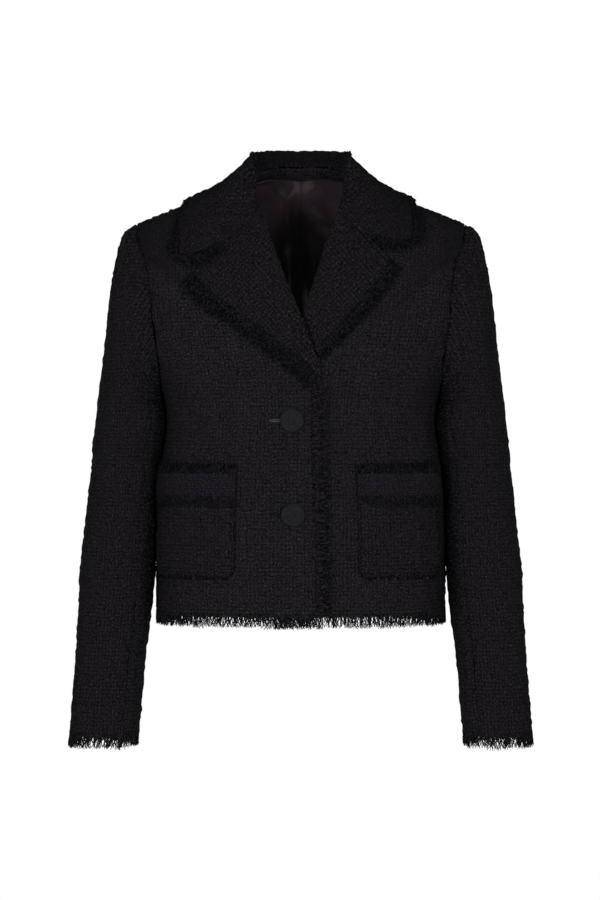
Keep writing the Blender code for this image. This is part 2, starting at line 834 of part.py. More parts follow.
def pocket_view(side, u, v):
    """The (turn, height) of a patch pocket's point, with its two lower corners rounded."""
    low, high = (math.radians(turn) for turn in POCKET_TURN[side])
    straight = POCKET_TOP - POCKET_FOOT - POCKET_CORNER
    if v <= POCKET_STRAIGHT:
        height = POCKET_TOP - straight * v / POCKET_STRAIGHT
        inset = 0.0
    else:
        swing = math.radians(90.0) * (v - POCKET_STRAIGHT) / (1.0 - POCKET_STRAIGHT)
        height = POCKET_FOOT + POCKET_CORNER * (1.0 - math.sin(swing))
        inset = POCKET_CORNER * (1.0 - math.cos(swing)) * CORNER_CUT
    width = section_length(low, high)
    share = (inset + (width - 2.0 * inset) * u) / width
    return low + (high - low) * share, height


def section_length(low, high):
    middle = body_point((low + high) / 2.0, -0.5)
    return (body_point(low, -0.5) - middle).length + (body_point(high, -0.5) - middle).length


def pocket_point(side, turn, height, level):
    return laid(side, turn, reach_of(turn, height, -1), level)


def make_pocket(side, tweed, band, fringe, collection):
    name = side_name(side)
    low, high = (math.radians(turn) for turn in POCKET_TURN[side])
    band_foot = POCKET_TOP - BAND_DROP

    def patch(u, v, depth):
        turn, height = pocket_view(side, u, v)
        return pocket_point(side, turn, height, POCKET_LEVEL + TWEED * (1.0 - depth))

    def strip(top, foot, level, thickness):
        def place(u, v, depth):
            turn = low + (high - low) * u
            return pocket_point(side, turn, top + (foot - top) * v, level + thickness * (1.0 - depth))

        return place

    on_patch = POCKET_LEVEL * 2.0 + TWEED
    slab("pocket_" + name, 8, 6, patch, tweed, collection)
    place = strip(POCKET_TOP, band_foot, on_patch, TWEED)
    slab("pocket_band_" + name, 8, 1, place, band, collection)
    top_foot = POCKET_TOP + SEAM_GAP
    place = strip(top_foot + POCKET_FRINGE, top_foot, on_patch, FRINGE)
    slab("pocket_top_fringe_" + name, 8, 1, place, fringe, collection)
    low_top = band_foot - SEAM_GAP
    place = strip(low_top, low_top - POCKET_FRINGE, on_patch, FRINGE)
    slab("pocket_low_fringe_" + name, 8, 1, place, fringe, collection)


# Fringe


def beside(points, distance):
    """A line of front view points moved sideways, to the right of its direction."""
    moved = []
    for index, (x, z) in enumerate(points):
        before = points[max(index - 1, 0)]
        after = points[min(index + 1, len(points) - 1)]
        length = math.dist(before, after)
        over = (after[1] - before[1]) / length
        down = (before[0] - after[0]) / length
        moved.append((x + over * distance, z + down * distance))
    return moved


def make_lapel_fringe(side, finish, collection):
    edge = list(LAPEL_EDGE[side])
    keys = mean_keys(edge)
    inner = beside(edge, SEAM_GAP * 6.0)
    outer = beside(edge, LAPEL_FRINGE[side])

    def place(u, v, depth):
        x, z = blend(through(keys, inner, v), through(keys, outer, v), u)
        return front_laid(side, x, z, FRINGE_LEVEL + FRINGE * (1.0 - depth))

    return slab("lapel_fringe_" + side_name(side), 1, 11, place, finish, collection)


def make_edge_fringe(finish, collection):
    """The frayed strip that comes out from under the right front's edge and lies on the left front."""
    edge = [row for row in FRONT_EDGE[RIGHT] if row[1] > HEM_Z + 0.002]
    keys = mean_keys(edge)

    def place(u, v, depth):
        x, z = through(keys, edge, v)
        x -= SEAM_GAP * 3.0 + EDGE_FRINGE * u
        return front_laid(LEFT, -x, z, LAP_LIFT + FRINGE_LEVEL / 2.0 + FRINGE * (0.8 - depth))

    return slab("front_edge_fringe", 1, 8, place, finish, collection)


def make_hem_fringe(side, finish, collection):
    middle = FRINGE / 2.0 - TWEED / 2.0

    def place(u, v, depth):
        turn, _height = front_chart(side, u, 0.0)
        z = HEM_Z - SEAM_GAP - FRINGE_DROP * v
        point = laid(side, turn, reach_of(turn, z, -1), middle - FRINGE * depth)
        point.y -= SEAM_GAP / 2.0
        return point

    return slab("hem_fringe_" + side_name(side), 10, 1, place, finish, collection)


def make_back_hem_fringe(finish, collection):
    middle = FRINGE / 2.0 - TWEED / 2.0

    def place(u, v, depth):
        signed = 2.0 * u - 1.0
        side = RIGHT if signed < 0.0 else LEFT
        turn, _height = back_chart(abs(signed), 0.0)
        z = HEM_Z - SEAM_GAP - FRINGE_DROP * v
        point = laid(side, turn, reach_of(turn, z, 1), middle - FRINGE * depth)
        point.y += SEAM_GAP / 2.0
        return point

    return slab("hem_fringe_back", 20, 1, place, finish, collection)


def make_cuff_fringe(side, sleeve, finish, collection):
    def place(u, v, depth):
        angle = 180.0 + CUFF_GAP + (360.0 - 2.0 * CUFF_GAP) * u
        z = CUFF_Z - SEAM_GAP - CUFF_FRINGE_DROP * v
        outer = sleeve.tube(angle, z)
        centre = Vector((along(SLEEVE, z)[1], along(SLEEVE, z)[2], z))
        inward = (centre - outer).normalized()
        point = outer + inward * ((TWEED - FRINGE) / 2.0 + FRINGE * depth)
        return sleeve.mirrored(point)

    return slab("cuff_fringe_" + side_name(side), 16, 1, place, finish, collection)


def make_collar_fringe(form, finish, collection):
    """Frayed strip along the collar's front edges and its long outer edge, a little over the cloth."""
    edge = []
    for side, near in ((RIGHT, 0.0), (LEFT, 1.0)):
        shares = (0.56, 0.65, 0.75, 0.85, 0.94)
        part = [form.leaf_chart(near, share) for share in shares]
        if side == RIGHT:
            edge += part
            edge += [form.leaf_chart(step / 20.0, 1.0) for step in range(0, 21)]
        else:
            edge += part[::-1]
    flat = [(turn * EDGE_METRE, reach) for turn, reach in edge]
    keys = mean_keys(flat)
    inner = beside(flat, -SEAM_GAP * 10.0)
    outer = beside(flat, -COLLAR_FRINGE)

    def place(u, v, depth):
        near, reach = blend(through(keys, inner, v), through(keys, outer, v), u)
        ends = max(1.0 - min(v, 1.0 - v) / 0.16, 0.0)
        level = FRINGE_LEVEL + COLLAR_FRINGE_RISE * min(ends * 2.0, 1.0)
        return signed_laid(near / EDGE_METRE, reach, level + FRINGE * (1.0 - depth))

    return slab("collar_fringe", 1, 48, place, finish, collection)


# Buttons


def make_button(name, x, z, finish, collection):
    """A turned covered button: a shallow dome with a rolled rim, standing just off the right front."""
    turn, height = chart(abs(x), z, -1)
    reach = reach_of(turn, height, -1)
    base = laid(RIGHT, turn, reach, BUTTON_GAP)
    base.x = math.copysign(base.x, x)
    normal = body_normal(turn, reach)
    normal.x = math.copysign(normal.x, x)
    profile = [(0.0, BUTTON_THICK)]
    for degrees in (78.0, 50.0, 20.0, -20.0, -60.0):
        swing = math.radians(degrees)
        bulge = BUTTON_RADIUS - BUTTON_RIM * (1.0 - math.cos(swing))
        rise = BUTTON_THICK / 2.0 * (1.0 + BUTTON_SQUASH * math.sin(swing))
        profile.append((bulge, rise))
    profile.append((0.0, BUTTON_THICK / 2.0 * (1.0 - BUTTON_SQUASH)))
    mesh = bpy.data.meshes.new(name)
    points = [(radius, 0.0, height) for radius, height in profile]
    edges = [(index, index + 1) for index in range(len(points) - 1)]
    mesh.from_pydata(points, edges, [])
    mesh.materials.append(finish)
    piece = bpy.data.objects.new(name, mesh)
    collection.objects.link(piece)
    screw = piece.modifiers.new("turned", "SCREW")
    screw.steps = 20
    screw.render_steps = 20
    screw.use_merge_vertices = True
    screw.merge_threshold = 0.00001
    piece.location = base
    piece.rotation_euler = normal.to_track_quat("Z", "Y").to_euler()
    return piece


def main():
    clear_scene()
    collection = bpy.data.collections.new("cropped_tweed_jacket")
    bpy.context.scene.collection.children.link(collection)
    tweed = finish_of("tweed", TWEED_BLACK)
    satin = finish_of("satin", SATIN_BLACK)
    tape = finish_of("tape", TAPE_BLACK)
    band = finish_of("band", BAND_BLACK)
    fringe = finish_of("fringe", FRINGE_BLACK)
    covered = finish_of("button", BUTTON_BLACK)
    collar = Collar()
    make_back(tweed, collection)
    make_collar(collar, tweed, collection)
    make_neck_facing(tweed, collection)
    make_neck_tape(collar, tape, collection)
    for side in (RIGHT, LEFT):
        make_front(side, tweed, collection)
        make_lapel(side, tweed, collection)
        make_lining(side, satin, collection)
        sleeve = Sleeve(side)
        name = side_name(side)
        front, back = SLEEVE_SEAM_FRONT - SEAM_TURN, SLEEVE_SEAM_BACK + SEAM_TURN
        make_sleeve_piece("sleeve_top_" + name, sleeve, back - 360.0, front, 11, tweed, collection)
        front, back = SLEEVE_SEAM_FRONT + SEAM_TURN, SLEEVE_SEAM_BACK - SEAM_TURN
        make_sleeve_piece("sleeve_under_" + name, sleeve, front, back, 5, tweed, collection)
        make_pocket(side, tweed, band, fringe, collection)
        make_lapel_fringe(side, fringe, collection)
        make_hem_fringe(side, fringe, collection)
        make_cuff_fringe(side, sleeve, fringe, collection)
    make_edge_fringe(fringe, collection)
    make_back_hem_fringe(fringe, collection)
    make_collar_fringe(collar, fringe, collection)
    for name, (x, z) in BUTTONS.items():
        make_button(name, x, z, covered, collection)


main()
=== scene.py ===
"""The looks of a cropped tweed jacket, filled out as worn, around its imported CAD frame.

Metres, +Z up, the front faces -Y and the wearer's left is +X. The cloth lies on the same forms as the CAD
pieces: the body form, the sleeve tube and the collar roll, whose named sizes come first.
"""

import json
import math

import bpy
import numpy as np
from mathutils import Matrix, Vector

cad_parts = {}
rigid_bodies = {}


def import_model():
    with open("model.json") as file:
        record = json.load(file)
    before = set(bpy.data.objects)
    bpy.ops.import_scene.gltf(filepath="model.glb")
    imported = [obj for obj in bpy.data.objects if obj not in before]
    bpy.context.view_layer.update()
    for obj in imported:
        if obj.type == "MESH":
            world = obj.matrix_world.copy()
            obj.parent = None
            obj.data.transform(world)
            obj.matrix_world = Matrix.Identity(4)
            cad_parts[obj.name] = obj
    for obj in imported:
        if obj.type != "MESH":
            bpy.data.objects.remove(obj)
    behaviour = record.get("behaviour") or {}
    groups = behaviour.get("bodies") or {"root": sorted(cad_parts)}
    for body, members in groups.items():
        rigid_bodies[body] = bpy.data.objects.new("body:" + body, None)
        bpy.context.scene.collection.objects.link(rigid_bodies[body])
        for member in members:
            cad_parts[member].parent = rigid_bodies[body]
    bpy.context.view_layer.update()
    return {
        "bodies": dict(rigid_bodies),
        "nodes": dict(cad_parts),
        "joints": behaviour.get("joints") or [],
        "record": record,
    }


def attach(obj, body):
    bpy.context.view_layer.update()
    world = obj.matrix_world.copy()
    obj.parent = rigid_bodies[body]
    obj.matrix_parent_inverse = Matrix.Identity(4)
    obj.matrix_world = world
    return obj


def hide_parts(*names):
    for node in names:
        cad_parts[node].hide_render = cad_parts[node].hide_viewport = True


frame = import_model()

RIGHT = -1
LEFT = 1

# Cloth
TWEED = 0.0022
DOUBLE_TWEED = 0.0028
LINING = 0.0010
SEAM_GAP = 0.0003

# Steps for slopes and normals, and the stretch over which the shoulder's two faces share a normal
STEP = 0.0005
LIFT_STEP = 0.001
SHEET_STEP = 0.002
ROW_STEP = 0.01
SIDE_TURN = math.radians(89.0)
RIDGE_SOFT = 0.008

# Body form: half width and depths of the level section at each height
BODY = (
    # height  half_width  front_depth  back_depth
    (-0.560, 0.1700, 0.1210, 0.1160),
    (-0.509, 0.1700, 0.1210, 0.1160),
    (-0.450, 0.1705, 0.1200, 0.1140),
    (-0.400, 0.1695, 0.1190, 0.1110),
    (-0.355, 0.1672, 0.1175, 0.1080),
    (-0.316, 0.1620, 0.1160, 0.1060),
    (-0.285, 0.1580, 0.1165, 0.1070),
    (-0.255, 0.1625, 0.1180, 0.1110),
    (-0.220, 0.1780, 0.1185, 0.1150),
    (-0.170, 0.1960, 0.1160, 0.1170),
    (-0.120, 0.2000, 0.1130, 0.1170),
    (0.060, 0.2000, 0.1130, 0.1170),
)
SECTION_POWER = 2.3
TIP_X = 0.193
TIP_Z = -0.052
SHOULDER_SLOPE = 0.40
NECK_RISE = 0.036
NECK_HALF = 0.075
NECK_ROUND = {-1: 0.160, 1: 0.170}
TIP_ROUND = {-1: 0.050, 1: 0.055}
ROUND_POWER = 1.6
ROUND_LENGTH = 0.200
TOP_HALF_WIDTH = 0.200

HEM_Z = -0.509
UNDERARM_Z = -0.255
FRINGE_DROP = 0.0115
LAP_LIFT = 0.0014
LAP_FLAT = 0.050
LAP_FADE = 0.110
LAP_RISE = 0.050
NECK_SHARE = 0.4
NECK_CLEAR = 0.0012
FRONT_TOP_POWER = 6
BACK_TOP_POWER = 4

# Front openings, in each front's own X, which grows from the centre towards its side
FRONT_EDGE = {
    RIGHT: (
        # x      z
        (-0.0150, -0.5090),
        (-0.0205, -0.5050),
        (-0.0225, -0.4950),
        (-0.0200, -0.3800),
        (-0.0172, -0.2900),
        (-0.0175, -0.2480),
    ),
    LEFT: (
        (-0.0300, -0.5090),
        (-0.0300, -0.5050),
        (-0.0300, -0.4950),
        (-0.0300, -0.3800),
        (-0.0300, -0.2900),
        (-0.0285, -0.2480),
    ),
}
ROLL_LINE = {
    RIGHT: (
        (-0.0175, -0.2480),
        (-0.0158, -0.2220),
        (-0.0062, -0.1990),
        (0.0044, -0.1695),
        (0.0215, -0.1265),
        (0.0399, -0.0743),
        (0.0494, -0.0451),
    ),
    LEFT: (
        (-0.0285, -0.2480),
        (-0.0150, -0.2220),
        (-0.0058, -0.1990),
        (0.0046, -0.1695),
        (0.0175, -0.1324),
        (0.0345, -0.0800),
        (0.0470, -0.0451),
    ),
}
LAPEL_EDGE = {
    RIGHT: (
        (-0.0146, -0.2405),
        (-0.0036, -0.2266),
        (0.0158, -0.2101),
        (0.0402, -0.1909),
        (0.0676, -0.1704),
        (0.0897, -0.1549),
        (0.1093, -0.1406),
        (0.1275, -0.1208),
    ),
    LEFT: (
        (0.0180, -0.2062),
        (0.0225, -0.2030),
        (0.0286, -0.1987),
        (0.0492, -0.1768),
        (0.0640, -0.1605),
        (0.0755, -0.1477),
        (0.0977, -0.1177),
        (0.1055, -0.1052),
    ),
}
LAPEL_FOOT = {RIGHT: (-0.0165, -0.2420), LEFT: (0.0058, -0.1655)}
NOTCH = {RIGHT: (0.0861, -0.0829), LEFT: (0.0790, -0.0765)}

# Collar: where the neck seam, the roll and the outer edge lie, from the gorge round to the centre back
COLLAR = {
    # face: -1 front, 1 back; fold_y is the depth of the rolled top
    RIGHT: (
        # face seam_x  seam_z   fold_x   fold_y   fold_z   edge_x  edge_z
        (-1, 0.0550, -0.0430, 0.0449, -0.0690, -0.0451, 0.1436, -0.1012),
        (-1, 0.0640, -0.0220, 0.0530, -0.0430, -0.0150, 0.1420, -0.0700),
        (-1, 0.0735, -0.0060, 0.0550, -0.0080, 0.0240, 0.1340, -0.0370),
        (1, 0.0690, 0.0030, 0.0525, 0.0230, 0.0330, 0.1190, -0.0430),
        (1, 0.0430, 0.0130, 0.0380, 0.0470, 0.0372, 0.0640, -0.0480),
        (1, 0.0000, 0.0180, 0.0000, 0.0600, 0.0385, 0.0000, -0.0500),
    ),
    LEFT: (
        (-1, 0.0525, -0.0430, 0.0425, -0.0690, -0.0451, 0.1301, -0.0840),
        (-1, 0.0625, -0.0220, 0.0510, -0.0430, -0.0150, 0.1335, -0.0610),
        (-1, 0.0735, -0.0060, 0.0540, -0.0080, 0.0240, 0.1290, -0.0350),
        (1, 0.0690, 0.0030, 0.0522, 0.0230, 0.0330, 0.1170, -0.0430),
        (1, 0.0430, 0.0130, 0.0380, 0.0470, 0.0372, 0.0640, -0.0480),
        (1, 0.0000, 0.0180, 0.0000, 0.0600, 0.0385, 0.0000, -0.0500),
    ),
}
ROLL_RADIUS = 0.0021
ROLL_BACK = 0.0018
ROLL_PART = 0.25
ROLL_AHEAD = 0.03
ROLL_FADE = 4
LAPEL_FOOT_CLEAR = 0.004
GORGE_POWER = 5
LEAF_LEVEL = 0.0044
COLLAR_LEVEL = 0.0056
LEAF_SOFT = 0.0020
LEAF_SOFT_ACROSS = 1.25
LEAF_SOFT_UP = 1.1
AWAY_SHARE = 0.06
GORGE_SHARE = 0.50
GORGE_GAP = 0.0014
GORGE_LEAN = 0.34
STAND_PART = 2.0 / 12.0
ARC_PART = 4.0 / 12.0
STAND_CLEAR = 0.0012
FALL_POWER = 4.5
NOTCH_SHARE = 0.5
NOTCH_FADE = 0.10
TAPE_HALF = 2.0 / 24.0
TAPE_FOOT = 0.25
TAPE_TOP = 0.90
TAPE_CLEAR = 0.0014

# Lining and back neck facing: levels under the back, and their edges as shares of the back
LINING_LEVEL = 0.0075
LINING_SIDE = 0.985
LINING_HEM = 0.030
LINING_TOP = 0.978
FACING_LEVEL = 0.0034
FACING_FOOT = 0.981
FACING_SHARE = 0.36

# Armhole, from the underarm up to the shoulder tip: height and the depth fraction of the section
ARMHOLE = (
    # height  turn (degrees round from the centre)
    (-0.2550, 90.0),
    (-0.2500, 82.0),
    (-0.2400, 75.5),
    (-0.2250, 69.6),
    (-0.2000, 64.3),
    (-0.1500, 60.5),
    (-0.1200, 62.0),
    (-0.0830, 69.5),
    (-0.0660, 73.0),
)

# Sleeve tube: level sections, from above the shoulder tip to the cuff
SLEEVE = (
    # height  outer_x  centre_x  centre_y  half_depth
    (-0.045, 0.2030, 0.1750, 0.0050, 0.0450),
    (-0.070, 0.2120, 0.1820, 0.0050, 0.0540),
    (-0.095, 0.2180, 0.1860, 0.0050, 0.0620),
    (-0.112, 0.2215, 0.1890, 0.0050, 0.0660),
    (-0.148, 0.2270, 0.1935, 0.0040, 0.0700),
    (-0.200, 0.2320, 0.1990, 0.0030, 0.0720),
    (-0.255, 0.2385, 0.1994, 0.0010, 0.0700),
    (-0.290, 0.2424, 0.1990, -0.0010, 0.0660),
    (-0.320, 0.2455, 0.2030, -0.0030, 0.0620),
    (-0.380, 0.2508, 0.2088, -0.0090, 0.0570),
    (-0.437, 0.2562, 0.2125, -0.0180, 0.0540),
    (-0.496, 0.2595, 0.2163, -0.0270, 0.0510),
    (-0.555, 0.2625, 0.2217, -0.0360, 0.0480),
    (-0.614, 0.2665, 0.2258, -0.0440, 0.0460),
    (-0.657, 0.2692, 0.2291, -0.0490, 0.0450),
    (-0.690, 0.2710, 0.2311, -0.0530, 0.0445),
)
CUFF_Z = -0.648
CUFF_FRINGE_DROP = 0.0125
SLEEVE_SEAM_FRONT = 126.0
SLEEVE_SEAM_BACK = 238.0
CAP_REACH = 0.25
TOP_REACH = 0.020
TOP_TURN = 75.0
CAP_DROP = 1.6
CAP_POWER = 2.5
HEAD_PART = 0.40
UNDER_POWER = 1.6
HEAD_OUT = 0.0008
HEAD_UP = -0.0004
BICEP_Z = -0.290

# Patch pockets, in the front's own section angle and height
POCKET_TOP = -0.346
POCKET_FOOT = -0.465
POCKET_TURN = {RIGHT: (26.0, 76.0), LEFT: (22.5, 69.0)}
POCKET_CORNER = 0.016
POCKET_STRAIGHT = 0.50
CORNER_CUT = 0.85
POCKET_LEVEL = 0.0006
POCKET_RAISE = 0.0007
CHEST_REACH = -0.5
BAND_DROP = 0.0250
POCKET_FRINGE = 0.0130

# Fringe: how far each strip reaches
LAPEL_FRINGE = {RIGHT: 0.0150, LEFT: 0.0125}
EDGE_FRINGE = 0.0150
COLLAR_FRINGE = 0.0100
EDGE_METRE = 0.150

# Buttons
BUTTON_RADIUS = 0.0136
BUTTON_THICK = 0.0052
BUTTON_GAP = 0.0004
BUTTONS = {"button_upper": (-0.0101, -0.2850), "button_lower": (-0.0088, -0.3925)}


def smooth_step(value, low, high):
    part = min(max((value - low) / (high - low), 0.0), 1.0)
    return part * part * (3.0 - 2.0 * part)


def along(table, at):
    """Every later column of a table at a value of its first column, by a smooth cubic through the rows."""
    keys = [row[0] for row in table]
    down = keys[0] > keys[-1]
    if down:
        table = table[::-1]
        keys = keys[::-1]
    at = min(max(at, keys[0]), keys[-1])
    low = max(index for index in range(len(keys) - 1) if keys[index] <= at)
    high = low + 1
    span = keys[high] - keys[low]
    part = (at - keys[low]) / span
    values = []
    for column in range(1, len(table[0])):
        rate_low = slope(table, keys, low, column) * span
        rate_high = slope(table, keys, high, column) * span
        start = table[low][column]
        end = table[high][column]
        values.append(hermite(start, rate_low, end, rate_high, part))
    return values


def slope(table, keys, index, column):
    before = max(index - 1, 0)
    after = min(index + 1, len(keys) - 1)
    return (table[after][column] - table[before][column]) / (keys[after] - keys[before])


def hermite(start, rate_start, end, rate_end, part):
    square = part * part
    cube = square * part
    return (
        start * (2 * cube - 3 * square + 1)
        + rate_start * (cube - 2 * square + part)
        + end * (3 * square - 2 * cube)
        + rate_end * (cube - square)
    )


# The body form: a turn round from the centre (radians, front or back) and a reach below the shoulder ridge


def ridge_z(turn):
    x = abs(TOP_HALF_WIDTH * math.sin(turn))
    run = x if x > NECK_HALF else (x * x / NECK_HALF + NECK_HALF) / 2.0
    z = TIP_Z + SHOULDER_SLOPE * (TIP_X - run)
    inner = max(1.0 - (x / NECK_HALF) ** 2, 0.0)
    return z + NECK_RISE * inner * inner


def rounding_at(turn, face):
    """How far below the ridge the shoulder has rounded into the chest or the back."""
    x = abs(TOP_HALF_WIDTH * math.sin(turn))
    out = smooth_step(x, NECK_HALF, TIP_X)
    return NECK_ROUND[face] + (TIP_ROUND[face] - NECK_ROUND[face]) * out


def body_point(turn, reach):
    """The outer face: reach is 0 on the shoulder ridge, negative down the front, positive down the back."""
    front = reach <= 0.0
    rounding = rounding_at(turn, -1 if front else 1)
    top = ridge_z(turn)
    down = abs(reach)
    if down < ROUND_LENGTH:
        swing = math.radians(90.0) * down / ROUND_LENGTH
        z = top - rounding * (1.0 - math.cos(swing) ** (2.0 / ROUND_POWER))
        swell = math.sin(swing) ** (2.0 / ROUND_POWER)
    else:
        z = top - rounding - (down - ROUND_LENGTH)
        swell = 1.0
    half_width, front_depth, back_depth = along(BODY, z)
    depth = -front_depth if front else back_depth
    side = math.sin(turn)
    fullness = max(1.0 - abs(side) ** SECTION_POWER, 0.0) ** (1.0 / SECTION_POWER)
    return Vector((half_width * side, depth * fullness * swell, z))


def face_normal(turn, reach):
    """The outward normal of one face of the form, away from the shoulder ridge."""
    near = max(min(turn, SIDE_TURN), -SIDE_TURN)
    across = body_point(near + STEP, reach) - body_point(near - STEP, reach)
    down = body_point(near, reach + STEP) - body_point(near, reach - STEP)
    return across.cross(down).normalized()


def body_normal(turn, reach):
    """The outward normal, shared by front and back along the shoulder ridge."""
    face = -1.0 if reach <= 0.0 else 1.0
    own = face_normal(turn, face * max(abs(reach), RIDGE_SOFT / 2.0))
    if abs(reach) >= RIDGE_SOFT:
        return own
    ridge = face_normal(turn, -RIDGE_SOFT / 2.0) + face_normal(turn, RIDGE_SOFT / 2.0)
    return ridge.normalized().lerp(own, abs(reach) / RIDGE_SOFT).normalized()


def ridge_height(turn, face):
    """The unrolled height of the shoulder ridge."""
    rounding = rounding_at(turn, face)
    return ridge_z(turn) - rounding + ROUND_LENGTH


def chart(x, z, face):
    """The (turn, unrolled height) of the form's point at this x and height, on the front (-1) or back (1)."""
    half_width = along(BODY, z)[0]
    turn = math.asin(max(min(x / half_width, 1.0), -1.0))
    rounding = rounding_at(turn, face)
    drop = ridge_z(turn) - z
    if drop >= rounding:
        return turn, z
    level = min(1.0 - max(drop, 0.0) / rounding, 1.0)
    swing = math.acos(level ** (ROUND_POWER / 2.0))
    return turn, ridge_height(turn, face) - ROUND_LENGTH * swing / math.radians(90.0)


def reach_of(turn, height, face):
    return face * max(ridge_height(turn, face) - height, 0.0)


def lap_level(x):
    """How far the right front moves out, and the left one in, where the two lap."""
    return LAP_LIFT * (1.0 - smooth_step(abs(x), LAP_FLAT, LAP_FADE))


def laid(side, turn, reach, level):
    """A point at a level above one side's form. Its turn grows towards that side."""
    point = body_point(turn, reach)
    lift = -side * lap_level(point.x) * smooth_step(-reach, 0.0, LAP_RISE)
    point = point + body_normal(turn, reach) * (level + lift)
    point.x *= side
    return point


def blend(first, second, part):
    return tuple(a + (b - a) * part for a, b in zip(first, second))


def mean_keys(points):
    """Fractions of the length of a line of points, one for each point."""
    lengths = [0.0]
    for before, after in zip(points, points[1:]):
        lengths.append(lengths[-1] + math.dist(before, after))
    return [length / lengths[-1] for length in lengths]


def through(keys, points, part):
    """The point at a fraction of a line, by a smooth cubic through its points."""
    return along([(key, *point) for key, point in zip(keys, points)], part)


def armhole(share, face):
    """The armhole edge in the chart, from the underarm (0) to the shoulder tip (1)."""
    tip_turn = math.asin(TIP_X / TOP_HALF_WIDTH)
    points = []
    for z, turn in ARMHOLE:
        x = along(BODY, z)[0] * math.sin(math.radians(turn))
        points.append(chart(x, z, face))
    points.append((tip_turn, ridge_height(tip_turn, face)))
    lengths = mean_keys([(turn * TOP_HALF_WIDTH / 2.0, height) for turn, height in points])
    return tuple(through(lengths, points, share))


def thick(middle, u, v, depth, thickness, outward, spill=0.0):
    """A point of a sheet with this middle surface; outward is 1 or -1, the side its outer face lies on.

    spill is how far the surface goes on past the sheet's two side edges.
    """
    step = SHEET_STEP
    low_u, high_u = max(u - step, -spill), min(u + step, 1.0 + spill)
    low_v, high_v = max(v - step, 0.0), min(v + step, 1.0)
    along_u = middle(high_u, v) - middle(low_u, v)
    along_v = middle(u, high_v) - middle(u, low_v)
    normal = along_u.cross(along_v).normalized() * outward
    return middle(u, v) + normal * thickness * (0.5 - depth)


def side_name(side):
    return "right" if side == RIGHT else "left"


# Fronts


def front_chart(side, u, v):
    """A front's chart point: u from its inner edge to its side, v from the hem to the shoulder seam."""
    edge = list(FRONT_EDGE[side]) + list(ROLL_LINE[side][1:])
    edge += [(row[1] + NECK_CLEAR, row[2]) for row in COLLAR[side][0:2]]
    keys = mean_keys(edge + [(NECK_HALF, 0.0)])
    shoulder_turn = math.asin(NECK_HALF / TOP_HALF_WIDTH)
    inner = [chart(x, z, -1) for x, z in edge]
    inner.append((shoulder_turn, ridge_height(shoulder_turn, -1)))
    below = len(FRONT_EDGE[side])
    outer = []
    for index, (_x, z) in enumerate(edge + [(NECK_HALF, 0.0)]):
        if index < below:
            drop = (z - HEM_Z) / (edge[below - 1][1] - HEM_Z)
            outer.append((math.radians(90.0), HEM_Z + drop * (UNDERARM_Z - HEM_Z)))
        else:
            share = (keys[index] - keys[below - 1]) / (1.0 - keys[below - 1])
            outer.append(armhole(share, -1))
    start = through(keys, inner, v)
    end = through(keys, outer, v)
    turn, height = blend(start, end, u)
    top_turn = inner[-1][0] + (outer[-1][0] - inner[-1][0]) * u
    level_top = inner[-1][1] + (outer[-1][1] - inner[-1][1]) * u
    height += (ridge_height(top_turn, -1) - level_top) * v**FRONT_TOP_POWER
    return turn, height


# Back and its lining


def back_chart(share, v):
    """The back's chart point on one half: share from the centre to the side, v from the hem to the top."""
    neck = [(row[1], row[2]) for row in COLLAR[LEFT][:2:-1]]
    neck = [chart(x, z, 1) for x, z in neck]
    neck_turn = math.asin(NECK_HALF / TOP_HALF_WIDTH)
    neck.append((neck_turn, ridge_height(neck_turn, 1)))
    tip_turn = armhole(1.0, 1)[0]
    below = (UNDERARM_Z - HEM_Z) / (neck[0][1] - HEM_Z)
    if v <= below:
        end = (math.radians(90.0), HEM_Z + (UNDERARM_Z - HEM_Z) * v / below)
    else:
        end = armhole((v - below) / (1.0 - below), 1)
    start = (0.0, HEM_Z + (neck[0][1] - HEM_Z) * v)
    turn, height = blend(start, end, share)
    if share <= NECK_SHARE:
        top = through(mean_keys(neck), neck, share / NECK_SHARE)
    else:
        top_turn = neck_turn + (tip_turn - neck_turn) * (share - NECK_SHARE) / (1.0 - NECK_SHARE)
        top = (top_turn, ridge_height(top_turn, 1))
    flat_top = blend(neck[0], armhole(1.0, 1), share)
    turn += (top[0] - flat_top[0]) * v**BACK_TOP_POWER
    height += (top[1] - flat_top[1]) * v**BACK_TOP_POWER
    return turn, height


def back_point(signed, v, level):
    side = RIGHT if signed < 0.0 else LEFT
    turn, height = back_chart(abs(signed), v)
    return laid(side, turn, reach_of(turn, height, 1), level)


# Lapels


def lapel_front_view(side, share, v):
    """A lapel leaf's (x, z): share from the roll to the outer edge, v from its foot to the gorge."""
    foot_z = LAPEL_FOOT[side][1]
    roll = [LAPEL_FOOT[side]] + [row for row in ROLL_LINE[side] if row[1] > foot_z + LAPEL_FOOT_CLEAR]
    edge = LAPEL_EDGE[side]
    start = through(mean_keys(roll), roll, v)
    end = through(mean_keys(edge), edge, v)
    x, z = blend(start, end, share)
    corner = edge[-1]
    if share < GORGE_SHARE:
        top = blend(roll[-1], NOTCH[side], share / GORGE_SHARE)
    else:
        top = blend(NOTCH[side], corner, (share - GORGE_SHARE) / (1.0 - GORGE_SHARE))
    flat_top = blend(roll[-1], corner, share)
    x += (top[0] - flat_top[0] - GORGE_GAP * GORGE_LEAN * (1.0 - share)) * v**GORGE_POWER
    z += (top[1] - flat_top[1] - GORGE_GAP) * v**GORGE_POWER
    return x, z


def front_laid(side, x, z, level):
    turn, height = chart(x, z, -1)
    return laid(side, turn, reach_of(turn, height, -1), level)


def roll_frame(side, start, onward):
    """The base point, the direction out along the leaf and the normal where a leaf rolls back."""
    base = front_laid(side, *start, 0.0)
    outward = (front_laid(side, *onward, 0.0) - base).normalized()
    normal = (front_laid(side, *start, LIFT_STEP) - base).normalized()
    return base, outward, normal


